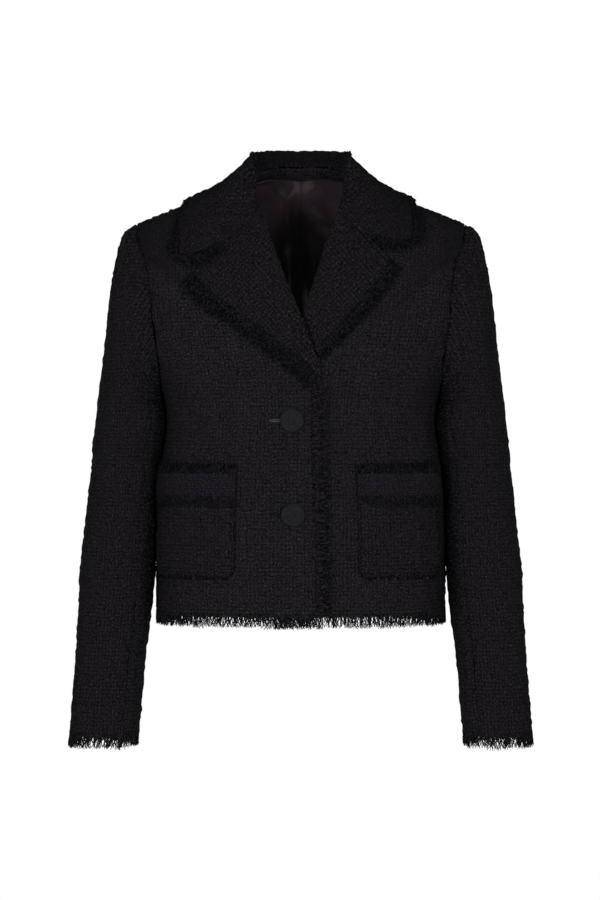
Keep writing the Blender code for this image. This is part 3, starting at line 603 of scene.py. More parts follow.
def roll_arc(base, outward, normal, angle):
    middle = (LEAF_LEVEL - TWEED / 2.0) / 2.0
    radius = (LEAF_LEVEL + TWEED / 2.0) / 2.0
    back = ROLL_BACK + radius * math.cos(angle)
    return base - outward * back + normal * (middle + radius * math.sin(angle))


def lapel_middle(side, u, v):
    """The middle of a lapel's cloth: round its roll, then out along the leaf with a soft swell."""
    start, onward = lapel_front_view(side, 0.0, v), lapel_front_view(side, ROLL_AHEAD, v)
    base, outward, normal = roll_frame(side, start, onward)
    if u < ROLL_PART:
        return roll_arc(base, outward, normal, math.radians(90.0) * (2.0 * u / ROLL_PART - 1.0))
    share = (u - ROLL_PART) / (1.0 - ROLL_PART)
    x, z = lapel_front_view(side, share, v)
    soft = LEAF_SOFT * math.sin(math.pi * min(share * LEAF_SOFT_ACROSS, 1.0))
    swell = soft * math.sin(math.pi * min(v * LEAF_SOFT_UP, 1.0)) ** 2
    point = front_laid(side, x, z, LEAF_LEVEL + swell)
    return point - outward * ROLL_BACK * (1.0 - share) ** ROLL_FADE


# Collar


def collar_rows():
    """The collar's rows as signed values from the right gorge, round the back, to the left gorge."""
    rows = []
    for side in (RIGHT, LEFT):
        side_rows = []
        for index, row in enumerate(COLLAR[side]):
            face, seam_x, seam_z, fold_x, fold_y, fold_z, edge_x, edge_z = row
            seam_turn, seam_height = chart(seam_x, seam_z, face)
            edge_turn, edge_height = chart(edge_x, edge_z, face)
            fold = (side * fold_x, fold_y, fold_z)
            if index == 0:
                frame = roll_frame(side, ROLL_LINE[side][-1], (seam_x, seam_z))
                fold = tuple(roll_arc(*frame, 0.0))
            seam_reach = reach_of(seam_turn, seam_height, face)
            edge_reach = reach_of(edge_turn, edge_height, face)
            side_rows.append((side * seam_turn, seam_reach, *fold, side * edge_turn, edge_reach))
        rows.append(side_rows)
    return rows[0] + rows[1][-2::-1]


def signed_laid(turn, reach, level):
    side = RIGHT if turn < 0.0 else LEFT
    return laid(side, abs(turn), reach, level)


class Collar:
    """The collar's rolled surface: u from right gorge to left gorge, v from the neck seam to the edge."""

    def __init__(self):
        self.rows = collar_rows()
        self.keys = [index / (len(self.rows) - 1) for index in range(len(self.rows))]
        self.notch = {}
        for side in (RIGHT, LEFT):
            turn, height = chart(*NOTCH[side], -1)
            self.notch[side] = (side * turn, reach_of(turn, height, -1))

    def row(self, u):
        return through(self.keys, self.rows, u)

    def leaf_chart(self, u, share):
        values = self.row(u)
        turn, reach = blend(values[0:2], values[5:7], share)
        side = RIGHT if u < 0.5 else LEFT
        near = max(1.0 - min(u, 1.0 - u) / NOTCH_FADE, 0.0)
        middle = blend(values[0:2], values[5:7], NOTCH_SHARE)
        bend = share / NOTCH_SHARE if share < NOTCH_SHARE else (1.0 - share) / (1.0 - NOTCH_SHARE)
        turn += (self.notch[side][0] - middle[0]) * bend * near**2
        reach += (self.notch[side][1] - middle[1]) * bend * near**2
        return turn, reach

    def frame(self, u):
        """Seam point, fold point, and the two directions of the roll's section."""
        values = self.row(u)
        seam = signed_laid(values[0], values[1], 0.0)
        fold = Vector(values[2:5])
        ahead = Vector(self.row(min(u + ROW_STEP, 1.0))[2:5])
        behind = Vector(self.row(max(u - ROW_STEP, 0.0))[2:5])
        inward = (seam - fold).normalized()
        outward = (ahead - behind).cross(inward).normalized()
        normal = signed_laid(values[0], values[1], LIFT_STEP) - seam
        if outward.dot(normal) < 0.0:
            outward = -outward
        return seam, fold, inward, outward, normal.normalized()

    def middle(self, u, v):
        seam, fold, inward, outward, normal = self.frame(u)
        top = fold + inward * ROLL_RADIUS
        if v <= STAND_PART:
            foot = seam - self.away(u) * STAND_CLEAR + normal * SEAM_GAP
            share = v / STAND_PART
            return foot.lerp(top - outward * ROLL_RADIUS, share)
        if v <= STAND_PART + ARC_PART:
            angle = math.radians(180.0) * (v - STAND_PART) / ARC_PART
            swing = -inward * math.sin(angle) - outward * math.cos(angle)
            return top + swing * ROLL_RADIUS
        share = (v - STAND_PART - ARC_PART) / (1.0 - STAND_PART - ARC_PART)
        turn, reach = self.leaf_chart(u, share)
        start = self.leaf_chart(u, 0.0)
        over = top + outward * ROLL_RADIUS - signed_laid(*start, COLLAR_LEVEL)
        return signed_laid(turn, reach, COLLAR_LEVEL) + over * (1.0 - share) ** FALL_POWER

    def away(self, u):
        """The direction along the cloth from the neck seam towards the collar's edge."""
        start = signed_laid(*self.leaf_chart(u, 0.0), 0.0)
        onward = signed_laid(*self.leaf_chart(u, AWAY_SHARE), 0.0)
        return (onward - start).normalized()


# Sleeves


class Sleeve:
    """One sleeve's outer surface, from its head (v 0) to its cuff (v 1).

    The angle is 0 outward, 90 to the front and 180 at the underarm.
    """

    def __init__(self, side):
        self.side = side

    def head(self, angle):
        """A point of the armhole seam, just clear of the body."""
        angle = angle % 360.0
        face = -1 if angle <= 180.0 else 1
        share = (1.0 - min(angle, 360.0 - angle) / 180.0) ** UNDER_POWER
        turn, height = armhole(share, face)
        reach = reach_of(turn, height, face)
        point = laid(LEFT, turn, reach, 0.0)
        normal = laid(LEFT, turn, reach, LIFT_STEP) - point
        outward = Vector((1.0, 0.0, 0.0)) - normal.normalized() * normal.normalized().x
        return point + normal.normalized() * HEAD_UP + outward.normalized() * HEAD_OUT

    def tube(self, angle, z):
        outer, centre_x, centre_y, half_depth = along(SLEEVE, z)
        half_width = outer - centre_x
        swing = math.radians(angle)
        x = centre_x + half_width * math.cos(swing)
        return Vector((x, centre_y - half_depth * math.sin(swing), z))

    def point(self, angle, v):
        head = self.head(angle)
        if v < HEAD_PART:
            bend = (v / HEAD_PART) ** CAP_DROP
            drop = HEAD_PART * bend
            level = head.z + (BICEP_Z - head.z) * bend
        else:
            drop = v
            level = BICEP_Z + (CUFF_Z - BICEP_Z) * (v - HEAD_PART) / (1.0 - HEAD_PART)
        tube = self.tube(angle, level)
        around = min(angle % 360.0, 360.0 - angle % 360.0)
        reach = TOP_REACH + (CAP_REACH - TOP_REACH) * smooth_step(around, 0.0, TOP_TURN)
        rise = 1.0 - max(1.0 - drop / reach, 0.0) ** CAP_POWER
        point = head.lerp(tube, min(rise, 1.0))
        point.z = level
        return self.mirrored(point)

    def mirrored(self, point):
        return Vector((point.x * self.side, point.y, point.z))


# Pockets


def pocket_view(side, u, v):
    """The (turn, height) of a patch pocket's point, with its two lower corners rounded."""
    low, high = (math.radians(turn) for turn in POCKET_TURN[side])
    straight = POCKET_TOP - POCKET_FOOT - POCKET_CORNER
    if v <= POCKET_STRAIGHT:
        height = POCKET_TOP - straight * v / POCKET_STRAIGHT
        inset = 0.0
    else:
        swing = math.radians(90.0) * (v - POCKET_STRAIGHT) / (1.0 - POCKET_STRAIGHT)
        height = POCKET_FOOT + POCKET_CORNER * (1.0 - math.sin(swing))
        inset = POCKET_CORNER * (1.0 - math.cos(swing)) * CORNER_CUT
    width = section_length(low, high)
    share = (inset + (width - 2.0 * inset) * u) / width
    return low + (high - low) * share, height


def section_length(low, high):
    """The length round a level stretch of the chest, from one turn to another."""
    middle = body_point((low + high) / 2.0, CHEST_REACH)
    return sum((body_point(end, CHEST_REACH) - middle).length for end in (low, high))


def pocket_point(side, turn, height, level):
    return laid(side, turn, reach_of(turn, height, -1), level)


def beside(points, distance):
    """A line of front view points moved sideways, to the right of its direction."""
    moved = []
    for index, (x, z) in enumerate(points):
        before = points[max(index - 1, 0)]
        after = points[min(index + 1, len(points) - 1)]
        length = math.dist(before, after)
        run_x, run_z = after[0] - before[0], after[1] - before[1]
        moved.append((x + run_z / length * distance, z - run_x / length * distance))
    return moved




# Surfaces: a piece's outer face is worked out on a coarse grid, and a smooth spline carries it to a fine one


def spline_weights(count, samples):
    """Weights of a natural cubic spline through count even knots, read at samples even places."""
    spans = count - 1
    if spans == 1:
        part = np.linspace(0.0, 1.0, samples)
        return np.stack([1.0 - part, part], axis=1)
    matrix = np.eye(count)
    right = np.zeros((count, count))
    for index in range(1, spans):
        matrix[index, index - 1 : index + 2] = (1.0, 4.0, 1.0)
        right[index, index - 1 : index + 2] = (6.0, -12.0, 6.0)
    bends = np.linalg.solve(matrix, right)
    place = np.linspace(0.0, spans, samples)
    low = np.minimum(place.astype(int), spans - 1)
    far = place - low
    near = 1.0 - far
    knots = np.eye(count)
    return (
        near[:, None] * knots[low]
        + far[:, None] * knots[low + 1]
        + ((near**3 - near)[:, None] * bends[low] + (far**3 - far)[:, None] * bends[low + 1]) / 6.0
    )


def surface(place, coarse, fine):
    """Points and cloth coordinates, [down, across, 5], of place(u, v) -> (point, cloth x, cloth y)."""
    across, down = coarse
    table = np.zeros((down, across, 5))
    for row in range(down):
        for column in range(across):
            point, cloth_x, cloth_y = place(column / (across - 1), row / (down - 1))
            table[row, column] = (*point, cloth_x, cloth_y)
    over = spline_weights(across, fine[0])
    along_down = spline_weights(down, fine[1])
    return np.einsum("ir,rck,jc->ijk", along_down, table, over)


def normals_of(points, outward):
    """Unit normals of a grid of points, on the side where outward is 1 or -1."""
    over = np.gradient(points, axis=1)
    down = np.gradient(points, axis=0)
    normal = np.cross(over, down) * outward
    return normal / np.maximum(np.linalg.norm(normal, axis=2, keepdims=True), 1e-12)


def soften(line):
    return np.convolve(np.pad(line, 1, "edge"), (0.25, 0.5, 0.25), "valid")


def smoothed(values, times):
    for axis in (0, 1) * times:
        values = np.apply_along_axis(soften, axis, values)
    return values


def knobs(shape, seed, height, times=1):
    """The uneven surface of slubby yarn, as heights over a grid."""
    values = smoothed(np.random.default_rng(seed).standard_normal(shape), times)
    return height * values / max(values.std(), 1e-9)


CREASE_END = 0.12


def creases(cloth, rows):
    """Soft troughs (-) and ridges (+) over the cloth's own coordinates.

    Each row is (start x, start y, end x, end y, half width, height).
    """
    lift = np.zeros(cloth.shape[:2])
    for start_x, start_y, end_x, end_y, width, height in rows:
        start = np.array((start_x, start_y))
        run = np.array((end_x, end_y)) - start
        offset = cloth - start
        part = np.clip((offset @ run) / (run @ run), 0.0, 1.0)
        gap = np.linalg.norm(offset - part[..., None] * run, axis=2)
        ends = np.sin(math.pi * (CREASE_END + (1.0 - 2.0 * CREASE_END) * part))
        lift += height * ends * np.exp(-((gap / width) ** 2))
    return lift


def select_none():
    for thing in bpy.context.selected_objects:
        thing.select_set(False)


def select_only(piece):
    select_none()
    piece.select_set(True)
    bpy.context.view_layer.objects.active = piece


def change_faces(operation, **settings):
    """Runs one mesh operation on every face of the active piece."""
    bpy.ops.object.mode_set(mode="EDIT")
    bpy.ops.mesh.select_all(action="SELECT")
    operation(**settings)
    bpy.ops.object.mode_set(mode="OBJECT")


def grid_piece(name, points, cloth, finish, seam=None):
    """A grid primitive laid on a table of points, with its cloth coordinates as a UV map in metres.

    seam is each point's painted shade, 0 to 1, in seams, stitched grooves and where a piece rests on another.
    The tweed finishes darken by it.
    """
    down, across = points.shape[:2]
    select_none()
    bpy.ops.mesh.primitive_grid_add(x_subdivisions=across - 1, y_subdivisions=down - 1, size=1.0)
    piece = bpy.context.active_object
    piece.name = name
    mesh = piece.data
    mesh.name = name
    seat = np.zeros(len(mesh.vertices) * 3)
    mesh.vertices.foreach_get("co", seat)
    seat = seat.reshape(-1, 3)
    column = np.rint((seat[:, 0] + 0.5) * (across - 1)).astype(int)
    row = np.rint((seat[:, 1] + 0.5) * (down - 1)).astype(int)
    mesh.vertices.foreach_set("co", points[row, column].ravel())
    corner = np.zeros(len(mesh.loops), dtype=int)
    mesh.loops.foreach_get("vertex_index", corner)
    weave = mesh.uv_layers[0]
    weave.name = "cloth"
    weave.data.foreach_set("uv", cloth[row[corner], column[corner]].ravel())
    if seam is not None:
        depths = mesh.attributes.new("seam", "FLOAT", "POINT")
        depths.data.foreach_set("value", seam[row, column].ravel())
    mesh.materials.append(finish)
    mesh.update()
    return piece


SHARP_ANGLE = math.radians(50.0)


def close_wall(piece, thickness, outward):
    """Gives a laid grid its wall, inward from the outer face, and turns the faces outward."""
    select_only(piece)
    if outward < 0:
        change_faces(bpy.ops.mesh.flip_normals)
    wall = piece.modifiers.new("wall", "SOLIDIFY")
    wall.thickness = thickness
    wall.offset = -1.0
    wall.use_even_offset = False
    bpy.ops.object.modifier_apply(modifier="wall")
    bpy.ops.object.shade_smooth_by_angle(angle=SHARP_ANGLE)


def settle(piece, slot, *replaced):
    """Every piece moves with the jacket's one body; trims on another piece replace nothing."""
    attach(piece, "root")
    if replaced:
        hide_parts(*replaced)


SLUB_HEIGHT = 0.00046
STITCH_INSET = 0.0038
STITCH_LENGTH = 0.0030
STITCH_PITCH = 0.0046
STITCH_RISE = (0.0, 0.00035, 0.00035, 0.0)
STITCH_RADII = (0.00020, 0.00036, 0.00036, 0.00020)
# Sunk grooves beside topstitching and turned seams: widths, depth, and the painted shade put in them
GROOVE_WIDTH = 0.0013
GROOVE_DEPTH = 0.0011
GROOVE_SHADE = 0.75
TURN_WIDTH = 0.0020
TURN_SHADE_WIDTH = 0.0016
stitches = {}


def cloth_piece(
    name, place, coarse, fine, outward, finish, slot, lift_rows=(), thickness=TWEED, rough=SLUB_HEIGHT,
    stitched="", turned="", depth=0.0010, shade=0.8, seed=1, rest=None
):
    """One sewn piece: its surface with soft creases and slubs, its wall, and its place on the jacket's one
    body.

    Borders are l, r, b and t. stitched have a row of topstitching beside them in a sunk groove, and at
    turned ones the cloth goes down into its seam; both get painted shade through the seam attribute.
    The rest function gives each point's painted shade where the piece rests against another.
    """
    table = surface(place, coarse, fine)
    points, cloth = table[..., :3], table[..., 3:]
    normal = normals_of(points, outward)
    lift = creases(cloth, lift_rows) + knobs(points.shape[:2], seed, rough)
    seam = np.zeros(points.shape[:2])
    for border in stitched:
        row = np.exp(-(((border_gap(points, border) - STITCH_INSET) / GROOVE_WIDTH) ** 2))
        lift -= GROOVE_DEPTH * row
        # painted shade in the groove beside the stitching
        seam = np.maximum(seam, GROOVE_SHADE * row)
    for border in turned:
        gap = border_gap(points, border)
        lift -= depth * np.exp(-gap / TURN_WIDTH)
        # painted shade where the cloth turns down into its seam
        seam = np.maximum(seam, shade * np.exp(-gap / TURN_SHADE_WIDTH))
    # painted shade where this piece rests against another
    if rest:
        seam = np.maximum(seam, rest(points))
    points = points + normal * lift[..., None]
    piece = grid_piece(name + "_cloth", points, cloth, finish, seam)
    close_wall(piece, thickness, outward)
    settle(piece, slot, name)
    if stitched:
        stitches[name] = topstitch(name, points, normal, stitched)
    return piece


def border_gap(points, border):
    """How far each point of a grid lies from one border, along the cloth."""
    axis = 1 if border in "lr" else 0
    step = np.linalg.norm(np.diff(points, axis=axis), axis=2)
    if border in "rt":
        step = np.flip(step, axis)
    total = np.cumsum(step, axis=axis)
    start = np.zeros((total.shape[0], 1)) if axis == 1 else np.zeros((1, total.shape[1]))
    total = np.concatenate([start, total], axis=axis)
    return np.flip(total, axis) if border in "rt" else total


def steady(line):
    """A line of values without the small unevenness of the grid it was read from."""
    return np.convolve(np.pad(line, 3, "edge"), np.ones(7) / 7.0, "valid")


def stitch_row(path, up, first, last, pitch, length):
    """Stitches along a path, from first until last before its end, and which way is outward at each."""
    run = np.concatenate([[0.0], np.cumsum(np.linalg.norm(np.diff(path, axis=0), axis=1))])
    starts = np.arange(first, run[-1] - last, pitch)
    at = starts[:, None] + np.linspace(0.0, length, 4)[None, :]
    columns = [[np.interp(at, run, table[:, axis]) for axis in range(3)] for table in (path, up)]
    return [np.stack(column, axis=-1) for column in columns]


def stitch_piece(name, rows, radii, finish):
    lines, faces = (np.concatenate(part) for part in zip(*rows))
    piece = strand_mesh(name, lines, faces, np.broadcast_to(np.array(radii), lines.shape[:2]), finish)
    settle(piece, "tweed")
    return piece


def topstitch(name, points, normal, borders):
    """A row of short stitches along each stitched border, sunk in the cloth."""
    rows = []
    for border in borders:
        gap = border_gap(points, border)
        axis = 1 if border in "lr" else 0
        nearest = np.argmin(np.abs(gap - STITCH_INSET), axis=axis)
        order = np.arange(len(nearest))
        seat = (order, nearest) if axis == 1 else (nearest, order)
        path, up = points[seat], normal[seat]
        path = np.apply_along_axis(steady, 0, path)
        last = STITCH_INSET + STITCH_LENGTH
        line, face = stitch_row(path, up, STITCH_INSET, last, STITCH_PITCH, STITCH_LENGTH)
        rows.append((line + face * np.array(STITCH_RISE)[None, :, None], face))
    return stitch_piece(name + "_stitches", rows, STITCH_RADII, thread)


def strand_mesh(name, lines, normals, radii, finish):
    """Three-sided tapering strands round lines [strand, station, 3]."""
    count, stations = lines.shape[:2]
    run = np.gradient(lines, axis=1)
    run /= np.maximum(np.linalg.norm(run, axis=2, keepdims=True), 1e-9)
    side = np.cross(run, normals)
    side /= np.maximum(np.linalg.norm(side, axis=2, keepdims=True), 1e-9)
    up = np.cross(side, run)
    rings = []
    for corner in range(3):
        angle = 2.0 * math.pi * corner / 3.0 + 0.5
        rings.append(lines + (side * math.cos(angle) + up * math.sin(angle)) * radii[..., None])
    points = np.stack(rings, axis=2).reshape(-1, 3)
    first = (np.arange(count)[:, None] * stations + np.arange(stations - 1)[None, :]).ravel() * 3
    quads = []
    for corner in range(3):
        after = (corner + 1) % 3
        ring = [first + corner, first + after, first + 3 + after, first + 3 + corner]
        quads.append(np.stack(ring, axis=1))
    quads = np.concatenate(quads)
    head = np.arange(count) * stations * 3
    foot = head + (stations - 1) * 3
    caps = [np.stack([head + 2, head + 1, head], axis=1), np.stack([foot, foot + 1, foot + 2], axis=1)]
    faces = quads.tolist() + np.concatenate(caps).tolist()
    mesh = bpy.data.meshes.new(name)
    mesh.from_pydata(points.tolist(), [], faces)
    mesh.materials.append(finish)
    piece = bpy.data.objects.new(name, mesh)
    bpy.context.scene.collection.objects.link(piece)
    select_only(piece)
    change_faces(bpy.ops.mesh.normals_make_consistent, inside=False)
    bpy.ops.object.shade_smooth()
    return piece


# Finishes


RAMP_SOCKETS = ("Value", "From Min", "From Max", "To Min", "To Max")


class Finish:
    """A node material. Its calls add a node, or a few, and give back their output."""

    def __init__(self, name):
        self.material = bpy.data.materials.new(name)
        self.material.use_nodes = True
        self.tree = self.material.node_tree
        self.shader = self.tree.nodes["Principled BSDF"]

    def add(self, kind, **settings):
        node = self.tree.nodes.new(kind)
        for key, value in settings.items():
            setattr(node, key, value)
        node.label = kind.replace("ShaderNode", "")
        return node

    def place(self):
        return self.add("ShaderNodeTexCoord").outputs["Object"]

    def parts(self, vector):
        """The x, y and z of a vector."""
        node = self.add("ShaderNodeSeparateXYZ")
        self.feed(node.inputs[0], vector)
        return node.outputs

    def feed(self, socket, value):
        if isinstance(value, bpy.types.NodeSocket):
            self.tree.links.new(value, socket)
        else:
            socket.default_value = value

    def math(self, operation, first, second=0.0, third=0.0):
        node = self.add("ShaderNodeMath", operation=operation)
        for socket, value in zip(node.inputs, (first, second, third)):
            self.feed(socket, value)
        return node.outputs[0]

    def times(self, first, second, more=None):
        """first x second, and more added when given."""
        if more is None:
            return self.math("MULTIPLY", first, second)
        return self.math("MULTIPLY_ADD", first, second, more)

    def vector(self, operation, first, second=(0.0, 0.0, 0.0), scale=1.0):
        node = self.add("ShaderNodeVectorMath", operation=operation)
        self.feed(node.inputs[0], first)
        if operation == "SCALE":
            self.feed(node.inputs[3], scale)
        else:
            self.feed(node.inputs[1], second)
        return node.outputs[0]

    def noise(self, vector, scale, detail=2.0, rough=0.5, colour=False):
        node = self.add("ShaderNodeTexNoise")
        self.feed(node.inputs["Vector"], vector)
        self.feed(node.inputs["Scale"], scale)
        self.feed(node.inputs["Detail"], detail)
        self.feed(node.inputs["Roughness"], rough)
        return node.outputs["Color" if colour else "Fac"]

    def ramp(self, value, low, high, start=0.0, end=1.0):
        node = self.add("ShaderNodeMapRange", interpolation_type="SMOOTHSTEP")
        for key, given in zip(RAMP_SOCKETS, (value, low, high, start, end)):
            self.feed(node.inputs[key], given)
        return node.outputs[0]

    def mix(self, part, first, second):
        node = self.add("ShaderNodeMix", data_type="RGBA")
        self.feed(node.inputs[0], part)
        self.feed(node.inputs[6], first)
        self.feed(node.inputs[7], second)
        return node.outputs[2]

    def cloth_map(self, turn=0.0):
        source = self.add("ShaderNodeUVMap", uv_map="cloth").outputs[0]
        if turn == 0.0:
            return source
        turned = self.add("ShaderNodeMapping")
        self.feed(turned.inputs["Vector"], source)
        turned.inputs["Rotation"].default_value = (0.0, 0.0, turn)
        return turned.outputs[0]

    def bump(self, height, distance, strength=1.0):
        node = self.add("ShaderNodeBump")
        self.feed(node.inputs["Height"], height)
        self.feed(node.inputs["Distance"], distance)
        self.feed(node.inputs["Strength"], strength)
        self.feed(self.shader.inputs["Normal"], node.outputs[0])

    def set(self, **values):
        for key, value in values.items():
            self.feed(self.shader.inputs[key.replace("_", " ")], value)
        return self.material


def rgb(red, green, blue, level=1.0):
    return (red * level, green * level, blue * level, 1.0)


# Weave: the cell of one float and the spacing of the large check in metres, and noise scales per metre
CELL = 0.0044
CHECK = 0.0094
SLOW_SWAY = 110.0
QUICK_SWAY = 420.0
FIBRE = 640.0
CLOUD = 24.0
SPECK = 430.0
BREAK = 130.0
LONG_YARN = 2.4
YARN_STRETCH = 0.34
SPECK_SHADE = 0.48
# How dark the painted seam shade makes the cloth at full strength
SEAM_SHADE = -0.85
WEAVE_RELIEF = 0.0013


def yarn_sway(finish, cloth, cell):
    """How far the yarns wander from a straight weave."""
    sways = []
    for scale, detail, rough, reach in ((SLOW_SWAY, 2.0, 0.6, 1.5), (QUICK_SWAY, 1.0, 0.5, 0.9)):
        noise = finish.noise(cloth, scale, detail, rough, colour=True)
        centred = finish.vector("SUBTRACT", noise, (0.5, 0.5, 0.5))
        sways.append(finish.vector("SCALE", centred, scale=cell * reach))
    return finish.vector("ADD", *sways)


def float_height(finish, across, up):
    """The height of the floats, which run up the cloth in one cell and across it in the next."""
    swells = [finish.math("SINE", finish.times(finish.math("FRACT", part), math.pi)) for part in (across, up)]
    cells = [finish.math("FLOOR", part) for part in (across, up)]
    choose = finish.add("ShaderNodeMix", data_type="FLOAT")
    finish.feed(choose.inputs[0], finish.math("FLOORED_MODULO", finish.math("ADD", *cells), 2.0))
    for socket, (wide, narrow) in zip(choose.inputs[2:4], (swells, swells[::-1])):
        finish.feed(socket, finish.times(finish.ramp(wide, -0.05, 0.80), finish.ramp(narrow, -0.3, 0.45)))
    return choose.outputs[0], cells


def cell_shade(finish, cells):
    """A random value for each cell."""
    joined = finish.add("ShaderNodeCombineXYZ")
    for socket, value in zip(joined.inputs, cells):
        finish.feed(socket, value)
    shade = finish.add("ShaderNodeTexWhiteNoise", noise_dimensions="2D")
    finish.feed(shade.inputs["Vector"], joined.outputs[0])
    return shade.outputs["Value"]


def long_yarns(finish, cloth, cell):
    """Thicker yarns that run on through many cells, up and across."""
    up = finish.vector("MULTIPLY", cloth, (1.0, YARN_STRETCH, 1.0))
    over = finish.vector("ADD", finish.vector("MULTIPLY", cloth, (YARN_STRETCH, 1.0, 1.0)), (3.1, 1.7, 0.0))
    ways = [finish.ramp(finish.noise(way, LONG_YARN / cell, 2.0, 0.6), 0.50, 0.66) for way in (up, over)]
    return finish.math("MAXIMUM", *ways)


def check_lines(finish, cloth, across, up, cell):
    """Pale lines of a large check, broken along their length."""
    lines = []
    for part, level in ((across, 1.0), (up, 0.8)):
        wave = finish.math("SINE", finish.times(part, math.pi * cell / CHECK))
        lines.append(finish.ramp(finish.math("ABSOLUTE", wave), 0.06, 0.26, level, 0.0))
    whole = finish.noise(finish.vector("ADD", cloth, (7.3, 2.1, 0.0)), BREAK, 2.0, 0.6)
    return finish.times(finish.math("MAXIMUM", *lines), finish.ramp(whole, 0.46, 0.56))


def make_tweed(name, turn=0.0, dark=0.0010, mid=0.0095, light=0.036, cell=CELL, shift=0.0, cool=0.0):
    """Slubby tweed: short floats, specks of pale yarn, dark gaps and a broken large check."""
    finish = Finish(name)
    cloth = finish.vector("ADD", finish.cloth_map(turn), (shift, shift * 0.7, 0.0))
    wandered = finish.vector("ADD", cloth, yarn_sway(finish, cloth, cell))
    across, up, _out = finish.parts(finish.vector("SCALE", wandered, scale=1.0 / cell))
    height, cells = float_height(finish, across, up)
    fibre = finish.noise(cloth, FIBRE, 2.0, 0.6)
    thread = long_yarns(finish, cloth, cell)
    body = finish.times(height, finish.times(cell_shade(finish, cells), 0.55, 0.42))
    body = finish.times(thread, 0.22, body)
    body = finish.times(check_lines(finish, cloth, across, up, cell), 1.10, body)
    body = finish.times(body, finish.ramp(fibre, 0.34, 0.66, 0.22, 1.72))
    body = finish.times(body, finish.ramp(finish.noise(cloth, CLOUD, 2.0, 0.5), 0.2, 0.8, 0.88, 1.12))
    # Painted shade from the seam attribute: seams, stitched grooves, a sleeve resting on the body
    painted_seam_shade = finish.add("ShaderNodeAttribute", attribute_name="seam").outputs["Fac"]
    body = finish.times(body, finish.times(painted_seam_shade, SEAM_SHADE, 1.0))
    speck = finish.noise(finish.vector("ADD", cloth, (1.3, 5.9, 0.0)), SPECK, 1.0, 0.5)
    pale = finish.times(finish.ramp(speck, 0.54, 0.66), finish.ramp(height, 0.1, 0.8))
    tint = (1.01 - cool, 0.895, 1.09 + cool)
    ground = finish.mix(body, rgb(*tint, dark), rgb(*tint, mid * 2.0))
    colour = finish.mix(finish.times(pale, SPECK_SHADE), ground, rgb(*tint, light))
    finish.bump(finish.times(fibre, 0.25, finish.times(thread, 0.35, body)), WEAVE_RELIEF)
    return finish.set(Base_Color=colour, Roughness=0.95, Specular_IOR_Level=0.01)


def make_yarn(name, low, high, tint):
    """Loose yarn: fine fibres along the strand, some strands paler than others."""
    finish = Finish(name)
    place = finish.place()
    clump = finish.noise(place, 420.0, 2.0, 0.6)
    fibre = finish.noise(place, 2600.0, 2.0, 0.6)
    part = finish.ramp(finish.times(clump, finish.times(fibre, 0.8, 0.6)), 0.34, 0.75)
    finish.bump(fibre, 0.0002, 0.6)
    colour = finish.mix(part, rgb(*tint, low), rgb(*tint, high))
    return finish.set(Base_Color=colour, Roughness=0.95, Specular_IOR_Level=0.01)


def make_satin(name):
    """Smooth satin lining: a fine slanting rib, a deep plum black and a soft gloss."""
    finish = Finish(name)
    cloth = finish.cloth_map()
    rib = finish.add("ShaderNodeTexWave", wave_type="BANDS", bands_direction="DIAGONAL")
    for key, value in (("Vector", cloth), ("Scale", 900.0), ("Distortion", 1.5)):
        finish.feed(rib.inputs[key], value)
    cloudy = finish.ramp(finish.noise(cloth, 30.0, 2.0, 0.5), 0.3, 0.7)
    colour = finish.mix(cloudy, rgb(1.15, 0.84, 1.04, 0.0092), rgb(1.15, 0.86, 1.06, 0.0165))
    finish.bump(rib.outputs["Fac"], 0.00004, 0.5)
    return finish.set(Base_Color=colour, Roughness=0.25, Specular_IOR_Level=0.46)


def make_ribbed(name, level, scale, gloss, tint):
    """A fine close rib, as on covered buttons."""
    finish = Finish(name)
    place = finish.place()
    x, _y, z = finish.parts(place)
    over = finish.math("SINE", finish.times(x, scale))
    up = finish.math("SINE", finish.times(z, scale * 1.7))
    rib = finish.times(finish.times(over, up), 0.5, 0.5)
    grain = finish.ramp(finish.noise(place, 800.0, 2.0, 0.6), 0.35, 0.65, 0.4, 1.5)
    part = finish.times(rib, grain)
    finish.bump(part, 0.00025, 0.7)
    colour = finish.mix(part, rgb(*tint, level * 0.30), rgb(*tint, level * 2.3))
    return finish.set(Base_Color=colour, Roughness=gloss, Specular_IOR_Level=0.01)


tweed = make_tweed("tweed")
tweed_back = make_tweed("tweed_back", shift=0.013)
# Same tweed, darker mid on sleeves, lapels, collar, pocket: painted shade where they take less light
tweed_sleeve_shaded = make_tweed("tweed_sleeve_shaded", shift=0.007, mid=0.0080)
tweed_lapel_shaded = {
    RIGHT: make_tweed("tweed_lapel_right", turn=math.radians(-40.0), mid=0.0072),
    LEFT: make_tweed("tweed_lapel_left", turn=math.radians(49.0), mid=0.0072),
}
tweed_collar_shaded = make_tweed("tweed_collar_shaded", turn=math.radians(12.0), cell=0.0038, mid=0.0072, light=0.042)
tweed_pocket_shaded = make_tweed("tweed_pocket_shaded", shift=0.0021, mid=0.0084)
band_cloth = make_tweed(
    "pocket_band_cloth", turn=math.radians(90.0), cell=0.0030, mid=0.0093, light=0.034, cool=0.02
)
satin = make_satin("lining_satin")
yarn = make_yarn("fringe_yarn", 0.0016, 0.0150, (1.0, 0.90, 1.13))
# A darker copy of the fringe yarn for the lapel and collar strands: painted shade
yarn_deep_shaded = make_yarn("fringe_yarn_deep", 0.0010, 0.0115, (1.0, 0.90, 1.14))
